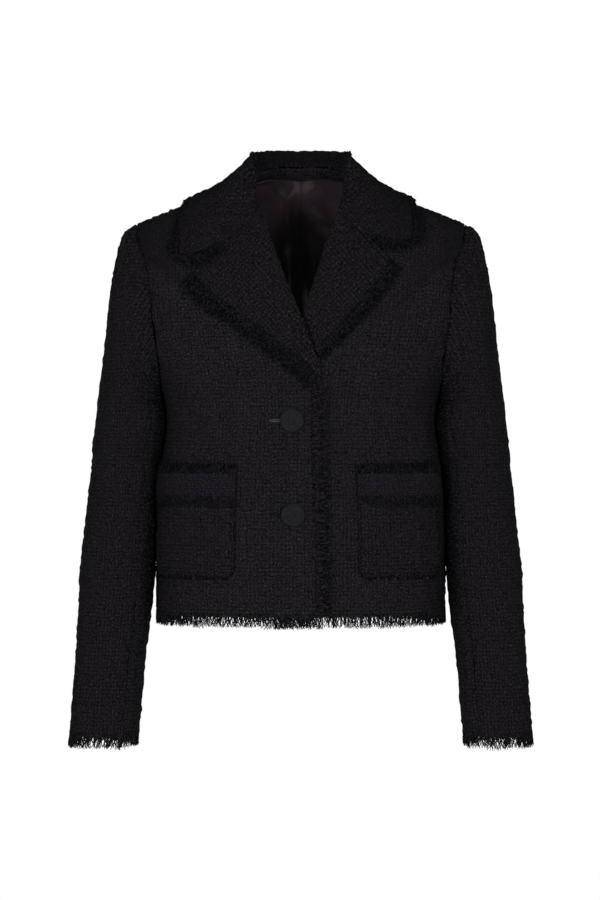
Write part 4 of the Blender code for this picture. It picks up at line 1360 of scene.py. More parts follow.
# Mat yarn, far darker than the strands: a felted base whose dark is painted shade under the loose strands
yarn_mat_painted_shade = make_yarn("fringe_yarn_shade", 0.0008, 0.0044, (1.0, 0.90, 1.13))
button_cloth = make_ribbed("ribbed_cover", 0.0068, 3400.0, 0.9, (0.99, 0.95, 1.09))
tape_cloth = make_tweed("tape_woven", cell=0.0026, mid=0.0072, light=0.026)
thread = make_yarn("stitch_thread", 0.0018, 0.0080, (1.0, 0.94, 1.08))
thread_stand = make_yarn("stand_thread", 0.0070, 0.0240, (1.0, 0.94, 1.06))
# Pale thread for the upper buttonhole only: a thread, made this pale as a painted glint
thread_glint_pale = make_yarn("buttonhole_thread", 0.020, 0.110, (0.95, 1.0, 0.98))


# Sewn pieces

# The cloth's own width is read round one level section of the body
LEVEL_HALF_WIDTH = 0.170
LEVEL_DEPTH = 0.118
TURNS = np.linspace(0.0, math.pi / 2.0, 600)
LEVEL_X = LEVEL_HALF_WIDTH * np.sin(TURNS)
LEVEL_Y = LEVEL_DEPTH * np.maximum(1.0 - np.sin(TURNS) ** SECTION_POWER, 0.0) ** (1.0 / SECTION_POWER)
ARCS = np.concatenate([[0.0], np.cumsum(np.hypot(np.diff(LEVEL_X), np.diff(LEVEL_Y)))])


def arc_of(turn):
    return float(np.interp(abs(turn), TURNS, ARCS)) * (1.0 if turn >= 0.0 else -1.0)


def front_place(side):
    def place(u, v):
        turn, height = front_chart(side, u, v)
        return laid(side, turn, reach_of(turn, height, -1), 0.0), side * arc_of(turn), height

    return place


def back_place(u, v):
    signed = 2.0 * u - 1.0
    turn, height = back_chart(abs(signed), v)
    return back_point(signed, v, 0.0), math.copysign(arc_of(turn), signed), height


SLEEVE_GRAIN = 60.0


def sleeve_place(sleeve, low, high):
    def place(u, v):
        angle = low + (high - low) * u
        point = sleeve.point(angle, v)
        outer, centre_x, _centre_y, half_depth = along(SLEEVE, point.z)
        radius = (outer - centre_x + half_depth) / 2.0
        return point, math.radians(angle - SLEEVE_GRAIN) * radius, point.z

    return place


# Painted shade where a sleeve rests on the body, and how far it fades away from there
REST_TOP = -0.185
REST_TOP_FADE = 0.075
REST_FOOT = -0.600
REST_FOOT_FADE = 0.120
REST_GAP = 0.0145
REST_SHADE = 1.12


def shade_against_body(points):
    """How much painted shade the sleeve's cloth gets where the sleeve rests on the body's side."""
    heights = points[..., 2]
    inner = np.vectorize(lambda z: 2.0 * along(SLEEVE, z)[1] - along(SLEEVE, z)[0])(heights)
    gap = np.maximum(np.abs(points[..., 0]) - inner, 0.0)
    begin = np.clip((REST_TOP - heights) / REST_TOP_FADE, 0.0, 1.0)
    end = np.clip((heights - REST_FOOT) / REST_FOOT_FADE, 0.0, 1.0)
    return REST_SHADE * np.exp(-((gap / REST_GAP) ** 4)) * begin * end


# Cloth lengths of the roll and the collar's stand, roll and fall, which is cut to a curve
ROLL_ALLOW = 0.009
STAND_FLAT = 0.030
OVER_FLAT = 0.007
FALL_FLAT = 0.092
CUT_RADIUS = 0.12
CUT_SWING = 2.5
FACING_TOP = 1.0020
TAPE_FLAT = (0.07, 0.02)


def lapel_place(side):
    def middle(u, v):
        return lapel_middle(side, u, v)

    def place(u, v):
        point = thick(middle, u, v, 0.0, DOUBLE_TWEED, side)
        share = max((u - ROLL_PART) / (1.0 - ROLL_PART), 0.0)
        x, z = lapel_front_view(side, share, v)
        x -= max(1.0 - u / ROLL_PART, 0.0) * ROLL_ALLOW
        return point, side * x, z

    return place


def collar_place(form):
    def place(u, v):
        point = thick(form.middle, u, v, 0.0, DOUBLE_TWEED, 1)
        stand = min(v / STAND_PART, 1.0) * STAND_FLAT
        over = min(max(v - STAND_PART, 0.0) / ARC_PART, 1.0) * OVER_FLAT
        leaf = max(v - STAND_PART - ARC_PART, 0.0) / (1.0 - STAND_PART - ARC_PART) * FALL_FLAT
        radius = CUT_RADIUS + stand + over + leaf
        swing = (u - 0.5) * CUT_SWING
        return point, radius * math.sin(swing), -radius * math.cos(swing)

    return place


def pocket_place(side):
    def place(u, v):
        turn, height = pocket_view(side, u, v)
        point = pocket_point(side, turn, height, POCKET_LEVEL + TWEED + POCKET_RAISE)
        return point, side * arc_of(turn), height

    return place


def band_place(side):
    low, high = (math.radians(turn) for turn in POCKET_TURN[side])

    def place(u, v):
        turn = low + (high - low) * u
        height = POCKET_TOP - BAND_DROP * v
        level = POCKET_LEVEL * 2.0 + TWEED * 2.0 + POCKET_RAISE
        return pocket_point(side, turn, height, level), side * arc_of(turn), height

    return place


def lining_place(side):
    def place(u, v):
        share = LINING_SIDE * u
        rise = LINING_HEM + (LINING_TOP - LINING_HEM) * v
        turn, height = back_chart(share, rise)
        return back_point(side * share, rise, -LINING_LEVEL - LINING), side * arc_of(turn), height

    return place


def facing_place(u, v):
    signed = FACING_SHARE * (2.0 * u - 1.0)
    rise = FACING_FOOT + (FACING_TOP - FACING_FOOT) * v
    point = back_point(signed, rise, -FACING_LEVEL - LINING)
    turn, height = back_chart(abs(signed), rise)
    return point, math.copysign(arc_of(turn), signed), height


def tape_place(form):
    def place(u, v):
        row = 0.5 + TAPE_HALF * (2.0 * u - 1.0)
        rise = STAND_PART * (TAPE_FOOT + (TAPE_TOP - TAPE_FOOT) * v)
        _seam, _fold, _inward, outward, _normal = form.frame(row)
        point = form.middle(row, rise) - outward * (DOUBLE_TWEED / 2.0 + TAPE_CLEAR + LINING)
        return point, u * TAPE_FLAT[0], v * TAPE_FLAT[1]

    return place


# Soft creases, each (start x, start y, end x, end y, half width, height) in the cloth's own metres.
# x grows towards the wearer's left, from the centre of a front or back and from the outer line of a sleeve.

FRONT_CREASES = {
    RIGHT: (
        (-0.148, -0.235, -0.095, -0.300, 0.016, 0.0016),
        (-0.165, -0.262, -0.118, -0.322, 0.011, -0.0014),
        (-0.020, -0.300, -0.075, -0.345, 0.013, -0.0012),
        (-0.016, -0.270, -0.070, -0.232, 0.014, 0.0011),
        (-0.130, -0.130, -0.118, -0.215, 0.018, -0.0015),
        (-0.060, -0.430, -0.048, -0.500, 0.016, 0.0012),
        (-0.175, -0.400, -0.180, -0.495, 0.014, -0.0013),
    ),
    LEFT: (
        (0.150, -0.240, 0.102, -0.310, 0.015, 0.0015),
        (0.168, -0.270, 0.126, -0.335, 0.012, -0.0013),
        (0.040, -0.290, 0.095, -0.330, 0.014, -0.0011),
        (0.128, -0.125, 0.120, -0.205, 0.019, -0.0014),
        (0.058, -0.425, 0.052, -0.500, 0.017, 0.0012),
        (0.178, -0.390, 0.184, -0.490, 0.013, -0.0014),
    ),
}
BACK_CREASES = (
    (-0.120, -0.090, -0.085, -0.190, 0.018, -0.0018),
    (0.118, -0.085, 0.090, -0.180, 0.019, -0.0017),
    (-0.060, -0.275, 0.020, -0.290, 0.012, -0.0014),
    (0.005, -0.300, 0.085, -0.282, 0.011, -0.0013),
    (-0.140, -0.300, -0.095, -0.340, 0.013, 0.0014),
    (0.145, -0.305, 0.105, -0.350, 0.014, 0.0013),
    (-0.045, -0.400, -0.055, -0.500, 0.018, 0.0014),
    (0.050, -0.390, 0.062, -0.500, 0.016, 0.0013),
    (-0.160, -0.220, -0.120, -0.270, 0.012, -0.0014),
    (0.158, -0.215, 0.122, -0.262, 0.013, -0.0014),
)
SLEEVE_CREASES = (
    (0.060, -0.250, 0.012, -0.298, 0.013, -0.0018),
    (0.075, -0.300, 0.020, -0.338, 0.011, -0.0015),
    (0.070, -0.340, 0.015, -0.362, 0.010, 0.0013),
    (-0.055, -0.330, -0.005, -0.372, 0.012, -0.0015),
    (0.045, -0.392, -0.010, -0.428, 0.014, -0.0014),
    (-0.060, -0.440, -0.018, -0.500, 0.014, 0.0013),
    (0.038, -0.520, 0.008, -0.592, 0.015, -0.0012),
    (-0.030, -0.140, -0.020, -0.230, 0.020, -0.0012),
    (0.040, -0.120, 0.046, -0.200, 0.018, 0.0012),
)
UNDER_CREASES = (
    (0.120, -0.270, 0.160, -0.300, 0.010, -0.0016),
    (0.150, -0.320, 0.110, -0.352, 0.011, -0.0014),
    (0.118, -0.420, 0.150, -0.450, 0.012, 0.0013),
    (0.150, -0.520, 0.120, -0.570, 0.013, -0.0012),
)
LINING_CREASES = {
    RIGHT: (
        (-0.060, 0.002, -0.034, -0.006, 0.0055, -0.0045),
        (-0.038, -0.004, -0.016, -0.028, 0.0045, -0.0051),
        (-0.016, -0.026, -0.006, -0.012, 0.0040, -0.0039),
        (-0.015, -0.030, -0.018, -0.075, 0.0050, -0.0033),
        (-0.046, -0.020, -0.036, -0.110, 0.0060, 0.0039),
        (-0.026, -0.060, -0.022, -0.160, 0.0060, -0.0033),
        (-0.012, -0.080, -0.012, -0.180, 0.0050, 0.0030),
        (-0.080, -0.100, -0.070, -0.300, 0.0150, -0.0045),
        (-0.120, -0.150, -0.110, -0.350, 0.0160, 0.0045),
        (-0.040, -0.250, -0.045, -0.450, 0.0150, -0.0045),
    ),
    LEFT: (
        (0.008, -0.014, 0.030, -0.004, 0.0050, -0.0039),
        (0.018, -0.040, 0.044, -0.066, 0.0070, -0.0051),
        (0.030, -0.020, 0.048, -0.032, 0.0045, -0.0039),
        (0.012, -0.070, 0.018, -0.150, 0.0060, 0.0033),
        (0.028, -0.090, 0.024, -0.180, 0.0055, -0.0033),
        (0.085, -0.110, 0.075, -0.310, 0.0150, -0.0045),
        (0.118, -0.160, 0.112, -0.340, 0.0160, 0.0045),
        (0.042, -0.240, 0.050, -0.440, 0.0150, -0.0045),
    ),
}

collar_form = Collar()
cloth_piece(
    "back", back_place, (41, 33), (130, 200), -1, tweed_back, "tweed", BACK_CREASES, seed=11, turned="lr"
)
cloth_piece(
    "collar", collar_place(collar_form), (49, 37), (220, 90), 1, tweed_collar_shaded, "tweed",
    thickness=DOUBLE_TWEED, seed=12, stitched="t"
)
for side in (RIGHT, LEFT):
    name = side_name(side)
    cloth_piece(
        "front_" + name, front_place(side), (17, 41), (80, 230), side, tweed, "tweed",
        FRONT_CREASES[side], seed=13 + side, stitched="l", turned="r"
    )
    cloth_piece(
        "lapel_" + name, lapel_place(side), (25, 25), (70, 90), side, tweed_lapel_shaded[side], "tweed",
        thickness=DOUBLE_TWEED, seed=23 + side, stitched="rt"
    )
    sleeve = Sleeve(side)
    top = sleeve_place(sleeve, SLEEVE_SEAM_BACK - 360.0, SLEEVE_SEAM_FRONT)
    cloth_piece(
        "sleeve_top_" + name, top, (31, 33), (96, 236), side, tweed_sleeve_shaded, "tweed",
        SLEEVE_CREASES, seed=33 + side, turned="lrb", depth=0.0007, shade=0.55, rest=shade_against_body
    )
    under = sleeve_place(sleeve, SLEEVE_SEAM_FRONT, SLEEVE_SEAM_BACK)
    cloth_piece(
        "sleeve_under_" + name, under, (15, 33), (36, 200), side, tweed_sleeve_shaded, "tweed",
        UNDER_CREASES, seed=43 + side, turned="lrb", depth=0.0007, shade=0.55, rest=shade_against_body
    )
    cloth_piece(
        "pocket_" + name, pocket_place(side), (15, 25), (84, 88), -side, tweed_pocket_shaded, "tweed",
        seed=53 + side, stitched="lrt", turned="lrt", depth=0.0002, shade=1.0
    )
    cloth_piece(
        "pocket_band_" + name, band_place(side), (15, 5), (40, 12), -side, band_cloth, "pocket_band",
        seed=63 + side, rough=0.0001
    )
    cloth_piece(
        "lining_back_" + name, lining_place(side), (21, 25), (60, 96), side, satin, "lining_satin",
        LINING_CREASES[side], thickness=LINING, seed=73 + side, rough=0.0, turned="l"
    )
cloth_piece(
    "back_neck_facing", facing_place, (21, 3), (60, 6), 1, tweed_back, "tweed",
    thickness=LINING, seed=81, rough=0.0001
)
cloth_piece(
    "neck_tape", tape_place(collar_form), (13, 3), (30, 8), -1, tape_cloth, "neck_tape",
    thickness=LINING, seed=82, rough=0.00005
)


# Fringe: loose strands along an edge, as one joined mesh a strip

STRIP_STEPS = 140
STATIONS = 6
TUCK = 0.25
CLUMP = 0.006
SHORTEST = 0.22
MAT_KNOT = 0.0025
MAT_ROWS = 9
MAT_WALL = 0.0009
MAT_HEIGHT = 0.0005
MAT_SINK = 0.0002
STRANDS = {
    # strip        root     tip      pitch    ragged lean  curl    radius
    "lapel": (0.0052, 0.0030, 0.00100, 0.34, 0.46, 0.0028, 0.00078),
    "hem": (-0.0008, -0.0008, 0.00040, 0.30, 0.30, 0.0018, 0.00054),
    "cuff": (-0.0009, -0.0009, 0.00046, 0.34, 0.34, 0.0020, 0.00062),
    "pocket_top": (0.0046, 0.0056, 0.00080, 0.46, 0.52, 0.0030, 0.00060),
    "pocket_low": (0.0048, 0.0052, 0.00080, 0.46, 0.52, 0.0030, 0.00060),
    "front_edge": (0.0030, 0.0028, 0.00100, 0.30, 0.42, 0.0024, 0.00078),
    "hem_back": (-0.0008, -0.0008, 0.00042, 0.30, 0.30, 0.0018, 0.00054),
    "collar": (0.0052, 0.0030, 0.00100, 0.34, 0.46, 0.0026, 0.00074),
}
MATS = {
    # strip        root    tip     reach columns
    "lapel": (0.0046, 0.0024, 0.72, 220),
    "pocket_top": (0.0040, 0.0034, 0.72, 120),
    "pocket_low": (0.0042, 0.0036, 0.50, 120),
    "front_edge": (0.0022, 0.0018, 0.72, 220),
    "collar": (0.0046, 0.0022, 0.52, 420),
}
# How far the longest strands reach past the named reach of each strip
OVER = {
    "lapel": 0.0035, "front_edge": 0.0035, "hem": 0.0032, "cuff": 0.0035, "collar": 0.0020, "pocket": 0.0050
}


def strip_tables(at, start, end):
    """Root points, tip points and normals along a strip; at(share, part, level) lays a point."""
    tables = [[], [], []]
    for share in np.linspace(0.0, 1.0, STRIP_STEPS):
        root = at(share, 0.0, start)
        tip = at(share, 1.0, end)
        lifted = at(share, 0.5, (start + end) / 2.0 + LIFT_STEP)
        base = at(share, 0.5, (start + end) / 2.0)
        for table, value in zip(tables, (root, tip, (lifted - base).normalized())):
            table.append(tuple(value))
    return [np.array(table) for table in tables]


def read_table(table, share):
    keys = np.linspace(0.0, 1.0, len(table))
    return np.stack([np.interp(share, keys, table[:, axis]) for axis in range(3)], axis=-1)


def fringe(strip, name, at, seed, node, finish=yarn):
    """Loose strands from an edge: uneven in length, in clumps, each with its own curl and lean."""
    start, end, pitch, ragged, lean, curl, radius = STRANDS[strip]
    roots, tips, faces = strip_tables(at, start, end)
    length = float(np.linalg.norm(np.diff(roots, axis=0), axis=1).sum())
    reach = float(np.linalg.norm(tips - roots, axis=1).mean())
    count = int(length / pitch)
    draw = np.random.default_rng(seed)
    share = (np.arange(count) + 0.5 + draw.uniform(-0.6, 0.6, count)) / count
    knots = int(length / CLUMP) + 2
    clumps = np.interp(share, np.linspace(0.0, 1.0, knots), draw.uniform(0.0, 1.0, knots))
    size = 1.0 - ragged * (0.55 * clumps + 0.45 * draw.uniform(0.0, 1.0, count)) * 1.5
    size = np.clip(size, SHORTEST, 1.0)
    part = np.linspace(0.0, 1.0, STATIONS)[None, :]
    out = -TUCK + (size[:, None] + TUCK) * part
    sway = draw.normal(0.0, 1.0, (count, 1)) * lean * reach * part**1.2
    waves, phase = draw.uniform(2.0, 7.0, (count, 1)), draw.uniform(0.0, 6.3, (count, 1))
    sway = sway + curl * np.sin(part * waves + phase) * part
    places = np.clip(share[:, None] + sway / length, 0.0, 1.0)
    root, tip, normal = (read_table(table, places) for table in (roots, tips, faces))
    rise, phase = draw.uniform(-0.0003, 0.0012, (count, 1)), draw.uniform(0.0, 6.3, (count, 1))
    lift = rise + curl * 0.5 * np.sin(part * 5.0 + phase) * part
    lines = root + (tip - root) * out[..., None] + normal * lift[..., None]
    radii = radius * draw.uniform(0.65, 1.35, (count, 1)) * (1.0 - 0.55 * part**2)
    piece = strand_mesh(name, lines, normal, radii, finish)
    settle(piece, "fringe", node)
    return piece


def matted(strip, name, at, seed, finish=yarn_mat_painted_shade):
    """The felted part of a frayed strip, with an uneven outer edge, dark by default as painted shade under
    the strands.
    """
    start, end, out, across = MATS[strip]
    roots, tips, faces = strip_tables(at, start, end)
    draw = np.random.default_rng(seed)
    share = np.linspace(0.0, 1.0, across)
    length = float(np.linalg.norm(np.diff(roots, axis=0), axis=1).sum())
    knots = int(length / MAT_KNOT) + 2
    edge = np.interp(share, np.linspace(0.0, 1.0, knots), draw.uniform(0.55, 1.0, knots)) * out
    part = np.linspace(-0.2, 1.0, MAT_ROWS)[:, None] * edge[None, :]
    root, tip, normal = (read_table(table, share)[None] for table in (roots, tips, faces))
    points = root + (tip - root) * part[..., None]
    lift = knobs((MAT_ROWS, across), seed + 1, MAT_HEIGHT, 0)
    points = points + normal * (lift - MAT_SINK)[..., None]
    cloth = np.stack([np.broadcast_to(share * length, part.shape), part * 0.012], axis=-1)
    piece = grid_piece(name, points, cloth, finish)
    facing_out = float((normals_of(points, 1.0) * normal).sum()) > 0.0
    close_wall(piece, MAT_WALL, 1 if facing_out else -1)
    settle(piece, "fringe")
    return piece


def lapel_strip(side):
    edge = list(LAPEL_EDGE[side])
    keys = mean_keys(edge)
    inner = beside(edge, -0.0010)
    outer = beside(edge, LAPEL_FRINGE[side] + OVER["lapel"])

    def at(share, part, level):
        x, z = blend(through(keys, inner, share), through(keys, outer, share), part)
        return front_laid(side, x, z, level)

    return at


def edge_strip():
    edge = [row for row in FRONT_EDGE[RIGHT] if row[1] > HEM_Z + 0.002]
    keys = mean_keys(edge)

    def at(share, part, level):
        x, z = through(keys, edge, share)
        x += 0.0008 - (EDGE_FRINGE + OVER["front_edge"]) * part
        return front_laid(LEFT, -x, z, level)

    return at


def hem_strip(side):
    def at(share, part, level):
        turn, _height = front_chart(side, share, 0.0)
        z = HEM_Z - (FRINGE_DROP + OVER["hem"]) * part
        return laid(side, turn, reach_of(turn, z, -1), level)

    return at


def back_hem_strip(share, part, level):
    signed = 2.0 * share - 1.0
    turn, _height = back_chart(abs(signed), 0.0)
    z = HEM_Z - (FRINGE_DROP + OVER["hem"]) * part
    return laid(RIGHT if signed < 0.0 else LEFT, turn, reach_of(turn, z, 1), level)


def cuff_strip(sleeve):
    def at(share, part, level):
        angle = 180.0 + 360.0 * share
        z = CUFF_Z - (CUFF_FRINGE_DROP + OVER["cuff"]) * part
        outer = sleeve.tube(angle, z)
        centre = Vector((along(SLEEVE, z)[1], along(SLEEVE, z)[2], z))
        return sleeve.mirrored(outer + (outer - centre).normalized() * level)

    return at


def collar_strip(form):
    edge = []
    shares = (0.54, 0.65, 0.75, 0.85, 0.94)
    edge += [form.leaf_chart(0.0, share) for share in shares]
    edge += [form.leaf_chart(step / 20.0, 1.0) for step in range(0, 21)]
    edge += [form.leaf_chart(1.0, share) for share in shares[::-1]]
    flat = [(turn * EDGE_METRE, reach) for turn, reach in edge]
    keys = mean_keys(flat)
    inner = beside(flat, 0.0006)
    outer = beside(flat, -COLLAR_FRINGE - OVER["collar"])

    def at(share, part, level):
        ends = max(1.0 - min(share, 1.0 - share) / 0.16, 0.0)
        part *= 0.62 + 0.38 * min(ends * 3.0, 1.0)
        near, reach = blend(through(keys, inner, share), through(keys, outer, share), part)
        rise = 0.0030 * min(ends * 2.0, 1.0)
        return signed_laid(near / EDGE_METRE, reach, level + rise)

    return at


def pocket_strip(side, top, foot):
    low, high = (math.radians(turn) for turn in POCKET_TURN[side])

    def at(share, part, level):
        return pocket_point(side, low + (high - low) * share, top + (foot - top) * part, level)

    return at


POCKET_ROOT = 0.0004
fringes = {}
for side in (RIGHT, LEFT):
    name = side_name(side)
    at = lapel_strip(side)
    fringes["lapel_" + name] = [
        matted("lapel", "lapel_fringe_mat_" + name, at, 300 + side),
        fringe("lapel", "lapel_fringe_strands_" + name, at, 310 + side, "lapel_fringe_" + name, yarn_deep_shaded),
    ]
    loose = fringe("hem", "hem_fringe_strands_" + name, hem_strip(side), 320 + side, "hem_fringe_" + name)
    fringes["front_" + name] = [loose]
    at = cuff_strip(Sleeve(side))
    loose = fringe("cuff", "cuff_fringe_strands_" + name, at, 330 + side, "cuff_fringe_" + name)
    fringes["sleeve_top_" + name] = [loose]
    fringes["pocket_" + name] = []
    for edge, root, way, seed, felt in (
        ("top", POCKET_TOP - POCKET_ROOT, 1.0, 340 + side, yarn_mat_painted_shade),
        ("low", POCKET_TOP - BAND_DROP + POCKET_ROOT, -1.0, 360 + side, yarn),
    ):
        strip = "pocket_" + edge
        at = pocket_strip(side, root, root + way * POCKET_FRINGE + way * OVER["pocket"])
        fringes["pocket_" + name] += [
            matted(strip, strip + "_mat_" + name, at, seed, felt),
            fringe(strip, strip + "_strands_" + name, at, seed + 10, strip + "_fringe_" + name),
        ]
at = edge_strip()
fringes["front_right"] += [
    matted("front_edge", "front_edge_mat", at, 380),
    fringe("front_edge", "front_edge_strands", at, 381, "front_edge_fringe"),
]
fringes["back"] = [fringe("hem_back", "hem_fringe_strands_back", back_hem_strip, 390, "hem_fringe_back")]
at = collar_strip(collar_form)
fringes["collar"] = [
    matted("collar", "collar_fringe_mat", at, 391),
    fringe("collar", "collar_fringe_strands", at, 392, "collar_fringe", yarn_deep_shaded),
]


# Covered buttons, their buttonholes


BUTTON_EDGE = 0.0019
BUTTON_RINGS = (
    # width  rise
    (0.0007, -0.00010),
    (0.0014, 0.00004),
    (0.0022, 0.00022),
    (0.0026, 0.00016),
    (0.0026, 0.00008),
)
HOLE_X = -0.0185
HOLE_Z = -0.0002
HOLE_LENGTH = 0.011
HOLE_LEVEL = 0.0004
HOLE_RING = 0.0011
HOLE_THREAD = 0.00050


def place_on_front(piece, x, z, level):
    """Stands a piece modelled flat about the origin on the right front, and applies its place."""
    turn, height = chart(abs(x), z, -1)
    reach = reach_of(turn, height, -1)
    base = laid(RIGHT, turn, reach, level)
    base.x = math.copysign(base.x, x)
    normal = body_normal(turn, reach)
    normal.x = math.copysign(normal.x, x)
    piece.location = base
    piece.rotation_euler = normal.to_track_quat("Z", "Y").to_euler()
    select_only(piece)
    bpy.ops.object.transform_apply(location=True, rotation=True, scale=True)


def covered_button(name, x, z):
    """A domed button wrapped in ribbed cloth: rolled rim, shallow crown and a faint dip inside the rim."""
    select_none()
    bpy.ops.mesh.primitive_cylinder_add(vertices=72, radius=BUTTON_RADIUS, depth=BUTTON_THICK * 0.86)
    piece = bpy.context.active_object
    piece.name = name + "_covered"
    bpy.ops.object.mode_set(mode="EDIT")
    bpy.ops.mesh.select_all(action="SELECT")
    bpy.ops.mesh.select_mode(type="EDGE")
    bpy.ops.object.mode_set(mode="OBJECT")
    for edge in piece.data.edges:
        low, high = (piece.data.vertices[index].co.z for index in edge.vertices)
        edge.select = abs(low - high) < 0.0001
    for face in piece.data.polygons:
        face.select = False
    bpy.ops.object.mode_set(mode="EDIT")
    bpy.ops.mesh.bevel(offset=BUTTON_EDGE, segments=6, profile=0.5, affect="EDGES")
    bpy.ops.mesh.select_mode(type="FACE")
    bpy.ops.mesh.select_all(action="DESELECT")
    bpy.ops.object.mode_set(mode="OBJECT")
    for face in piece.data.polygons:
        face.select = face.normal.z > 0.99 and len(face.vertices) > 8
    bpy.ops.object.mode_set(mode="EDIT")
    for width, rise in BUTTON_RINGS:
        bpy.ops.mesh.inset(thickness=width, depth=rise)
    bpy.ops.object.mode_set(mode="OBJECT")
    bpy.ops.object.shade_smooth()
    piece.data.materials.append(button_cloth)
    place_on_front(piece, x, z, BUTTON_GAP + BUTTON_THICK / 2.0)
    settle(piece, "button_cloth", name)


def buttonhole(name, x, z, finish):
    """A worked buttonhole beside a button: a long ring of close thread."""
    select_none()
    bpy.ops.mesh.primitive_torus_add(
        major_segments=36, minor_segments=8, major_radius=HOLE_RING, minor_radius=HOLE_THREAD
    )
    ring = bpy.context.active_object
    ring.name = name
    for vertex in ring.data.vertices:
        vertex.co.x += math.copysign(HOLE_LENGTH / 2.0, vertex.co.x)
        vertex.co.y *= 0.9
    ring.data.materials.append(finish)
    bpy.ops.object.shade_smooth()
    place_on_front(ring, x, z, HOLE_LEVEL)
    settle(ring, "fringe")
    return ring


holes = []
for name, (x, z) in BUTTONS.items():
    covered_button(name, x, z)
    # The upper buttonhole's pale thread is a painted glint
    finish = thread_glint_pale if name == "button_upper" else thread
    holes.append(buttonhole(name + "_hole", x + HOLE_X, z + HOLE_Z, finish))


STAND_ROWS = (0.16, 0.34, 0.56, 0.78, 0.92)
STAND_REACH = 0.17
STAND_RAISE = 0.0002
STAND_START = 0.001
STAND_SCALE = 0.8
STAND_RADII = (0.00020, 0.00034, 0.00034, 0.00020)


def stand_rows(form):
    """Rows of close stitching along the inside of the collar stand, on the tape and beside it."""
    rows = []
    for rise in STAND_ROWS:
        path, up = [], []
        for share in np.linspace(0.5 - STAND_REACH, 0.5 + STAND_REACH, 60):
            _seam, _fold, _inward, outward, _normal = form.frame(share)
            tape = 0.0 if abs(share - 0.5) > TAPE_HALF else TAPE_CLEAR + LINING
            level = DOUBLE_TWEED / 2.0 + tape + STAND_RAISE
            path.append(tuple(form.middle(share, STAND_PART * rise) - outward * level))
            up.append(tuple(-outward))
        pitch, length = STITCH_PITCH * STAND_SCALE, STITCH_LENGTH * STAND_SCALE
        rows.append(stitch_row(np.array(path), np.array(up), STAND_START, STITCH_PITCH, pitch, length))
    return stitch_piece("collar_stand_stitches", rows, STAND_RADII, thread_stand)


stand_stitches = stand_rows(collar_form)


# Flat cuts: width, length and area of each sewn piece, how it is held, and what it hangs from

SEAMED = {
    "back": (0.47, 0.57, 0.226, "hung", ("collar",)),
    "front_right": (0.27, 0.60, 0.112, "hung", ("back",)),
    "front_left": (0.27, 0.60, 0.114, "hung", ("back",)),
    "sleeve_top_right": (0.40, 0.63, 0.119, "hung", ("front_right", "back")),
    "sleeve_top_left": (0.40, 0.63, 0.119, "hung", ("front_left", "back")),
    "sleeve_under_right": (0.15, 0.47, 0.0455, "hung", ("sleeve_top_right",)),
    "sleeve_under_left": (0.15, 0.47, 0.0455, "hung", ("sleeve_top_left",)),
    "collar": (0.61, 0.17, 0.0645, "folded", ("back",)),
    "lapel_right": (0.13, 0.23, 0.0163, "folded", ("front_right",)),
    "lapel_left": (0.11, 0.15, 0.0111, "folded", ("front_left",)),
    "pocket_right": (0.127, 0.128, 0.0158, "laid", ("front_right",)),
    "pocket_left": (0.120, 0.128, 0.0149, "laid", ("front_left",)),
    "pocket_band_right": (0.127, 0.025, None, "laid", ("pocket_right",)),
    "pocket_band_left": (0.120, 0.025, None, "laid", ("pocket_left",)),
    "lining_back_right": (0.22, 0.53, 0.1003, "hung", ("back_neck_facing",)),
    "lining_back_left": (0.22, 0.53, 0.1001, "hung", ("back_neck_facing",)),
    "back_neck_facing": (0.175, 0.013, 0.0020, "hung", ("back",)),
    "neck_tape": (0.079, 0.019, 0.0011, "laid", ("collar",)),
}
for name, (width, length, area, held, rests_on) in SEAMED.items():
    with_pieces = list(fringes.get(name, []))
    if name in stitches:
        with_pieces.append(stitches[name])
    if name == "collar":
        with_pieces.append(stand_stitches)
    if name == "front_right":
        with_pieces += holes


# Stage


FLOOR_Z = -1.05
FLOOR_SIZE = (3.0, 1.6, 1.0)
CAMERA_PLACE = (-0.001, -3.2, -0.3186)
CAMERA_LENS = 108.5
SOFTBOX_AIM = (0.0, 0.0, -0.3)
SOFTBOX_SIZE = 1.0
SOFTBOXES = (("left_softbox", -1.35, 80.0), ("right_softbox", 1.35, 72.0))
# The sky is full strength near the horizon and dims above and below it
SKY = (("From Min", 0.26), ("From Max", 0.50), ("To Min", 1.0), ("To Max", 0.18))


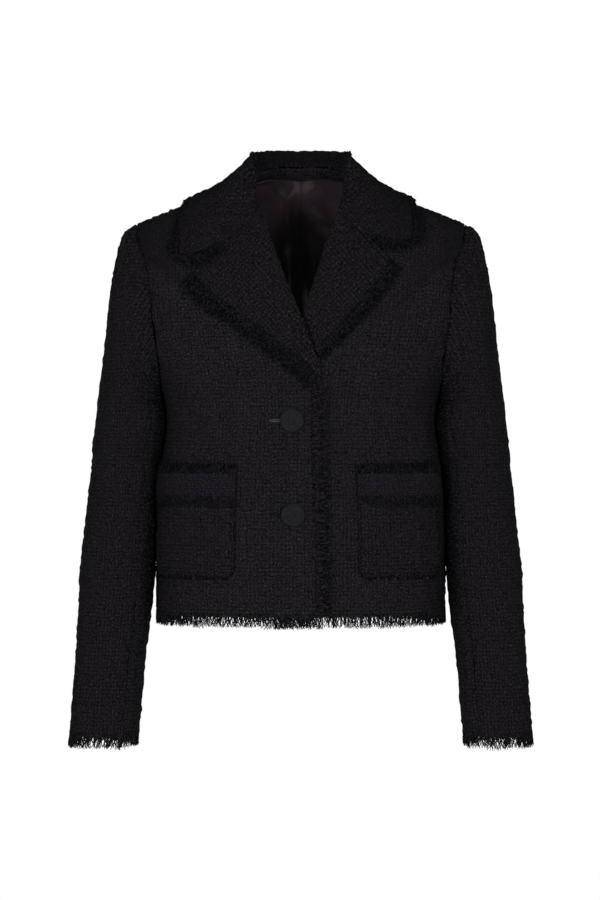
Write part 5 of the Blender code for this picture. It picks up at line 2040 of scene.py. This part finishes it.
def make_area(name, place, aim, size, energy):
    lamp = bpy.data.lights.new(name, "AREA")
    lamp.shape = "DISK"
    lamp.size = size
    lamp.energy = energy
    thing = bpy.data.objects.new(name, lamp)
    thing.location = place
    thing.rotation_euler = (Vector(aim) - Vector(place)).to_track_quat("-Z", "Y").to_euler()
    bpy.context.scene.collection.objects.link(thing)


def make_floor():
    select_none()
    bpy.ops.mesh.primitive_plane_add(size=1.0, location=(0.0, 0.0, FLOOR_Z))
    floor = bpy.context.active_object
    floor.name = "floor"
    floor.scale = FLOOR_SIZE
    paint = Finish("floor_paint")
    shade = paint.mix(paint.noise(paint.place(), 3.0), rgb(0.86, 0.86, 0.86), rgb(0.90, 0.90, 0.90))
    paint.set(Base_Color=shade, Roughness=0.8)
    floor.data.materials.append(paint.material)


camera = bpy.data.objects.new("camera", bpy.data.cameras.new("camera"))
camera.location = CAMERA_PLACE
camera.rotation_euler = (math.radians(90.0), 0.0, 0.0)
camera.data.sensor_width = 36.0
camera.data.lens = CAMERA_LENS
bpy.context.scene.collection.objects.link(camera)
bpy.context.scene.camera = camera
world = bpy.data.worlds.new("studio")
world.use_nodes = True
sky = world.node_tree.nodes
height = sky.new("ShaderNodeSeparateXYZ")
fade = sky.new("ShaderNodeMapRange")
fade.interpolation_type = "SMOOTHSTEP"
for key, value in SKY:
    fade.inputs[key].default_value = value
steep = sky.new("ShaderNodeMath")
steep.operation = "ABSOLUTE"
for source, socket in (
    (sky.new("ShaderNodeTexCoord").outputs["Generated"], height.inputs[0]),
    (height.outputs[2], steep.inputs[0]),
    (steep.outputs[0], fade.inputs["Value"]),
    (fade.outputs[0], sky["Background"].inputs["Strength"]),
):
    world.node_tree.links.new(source, socket)
sky["Background"].inputs["Color"].default_value = (1.0, 1.0, 1.0, 1.0)
bpy.context.scene.world = world
bpy.context.scene.view_settings.view_transform = "Standard"
for name, x, energy in SOFTBOXES:
    make_area(name, (x, -3.0, 0.0), SOFTBOX_AIM, SOFTBOX_SIZE, energy)
make_floor()
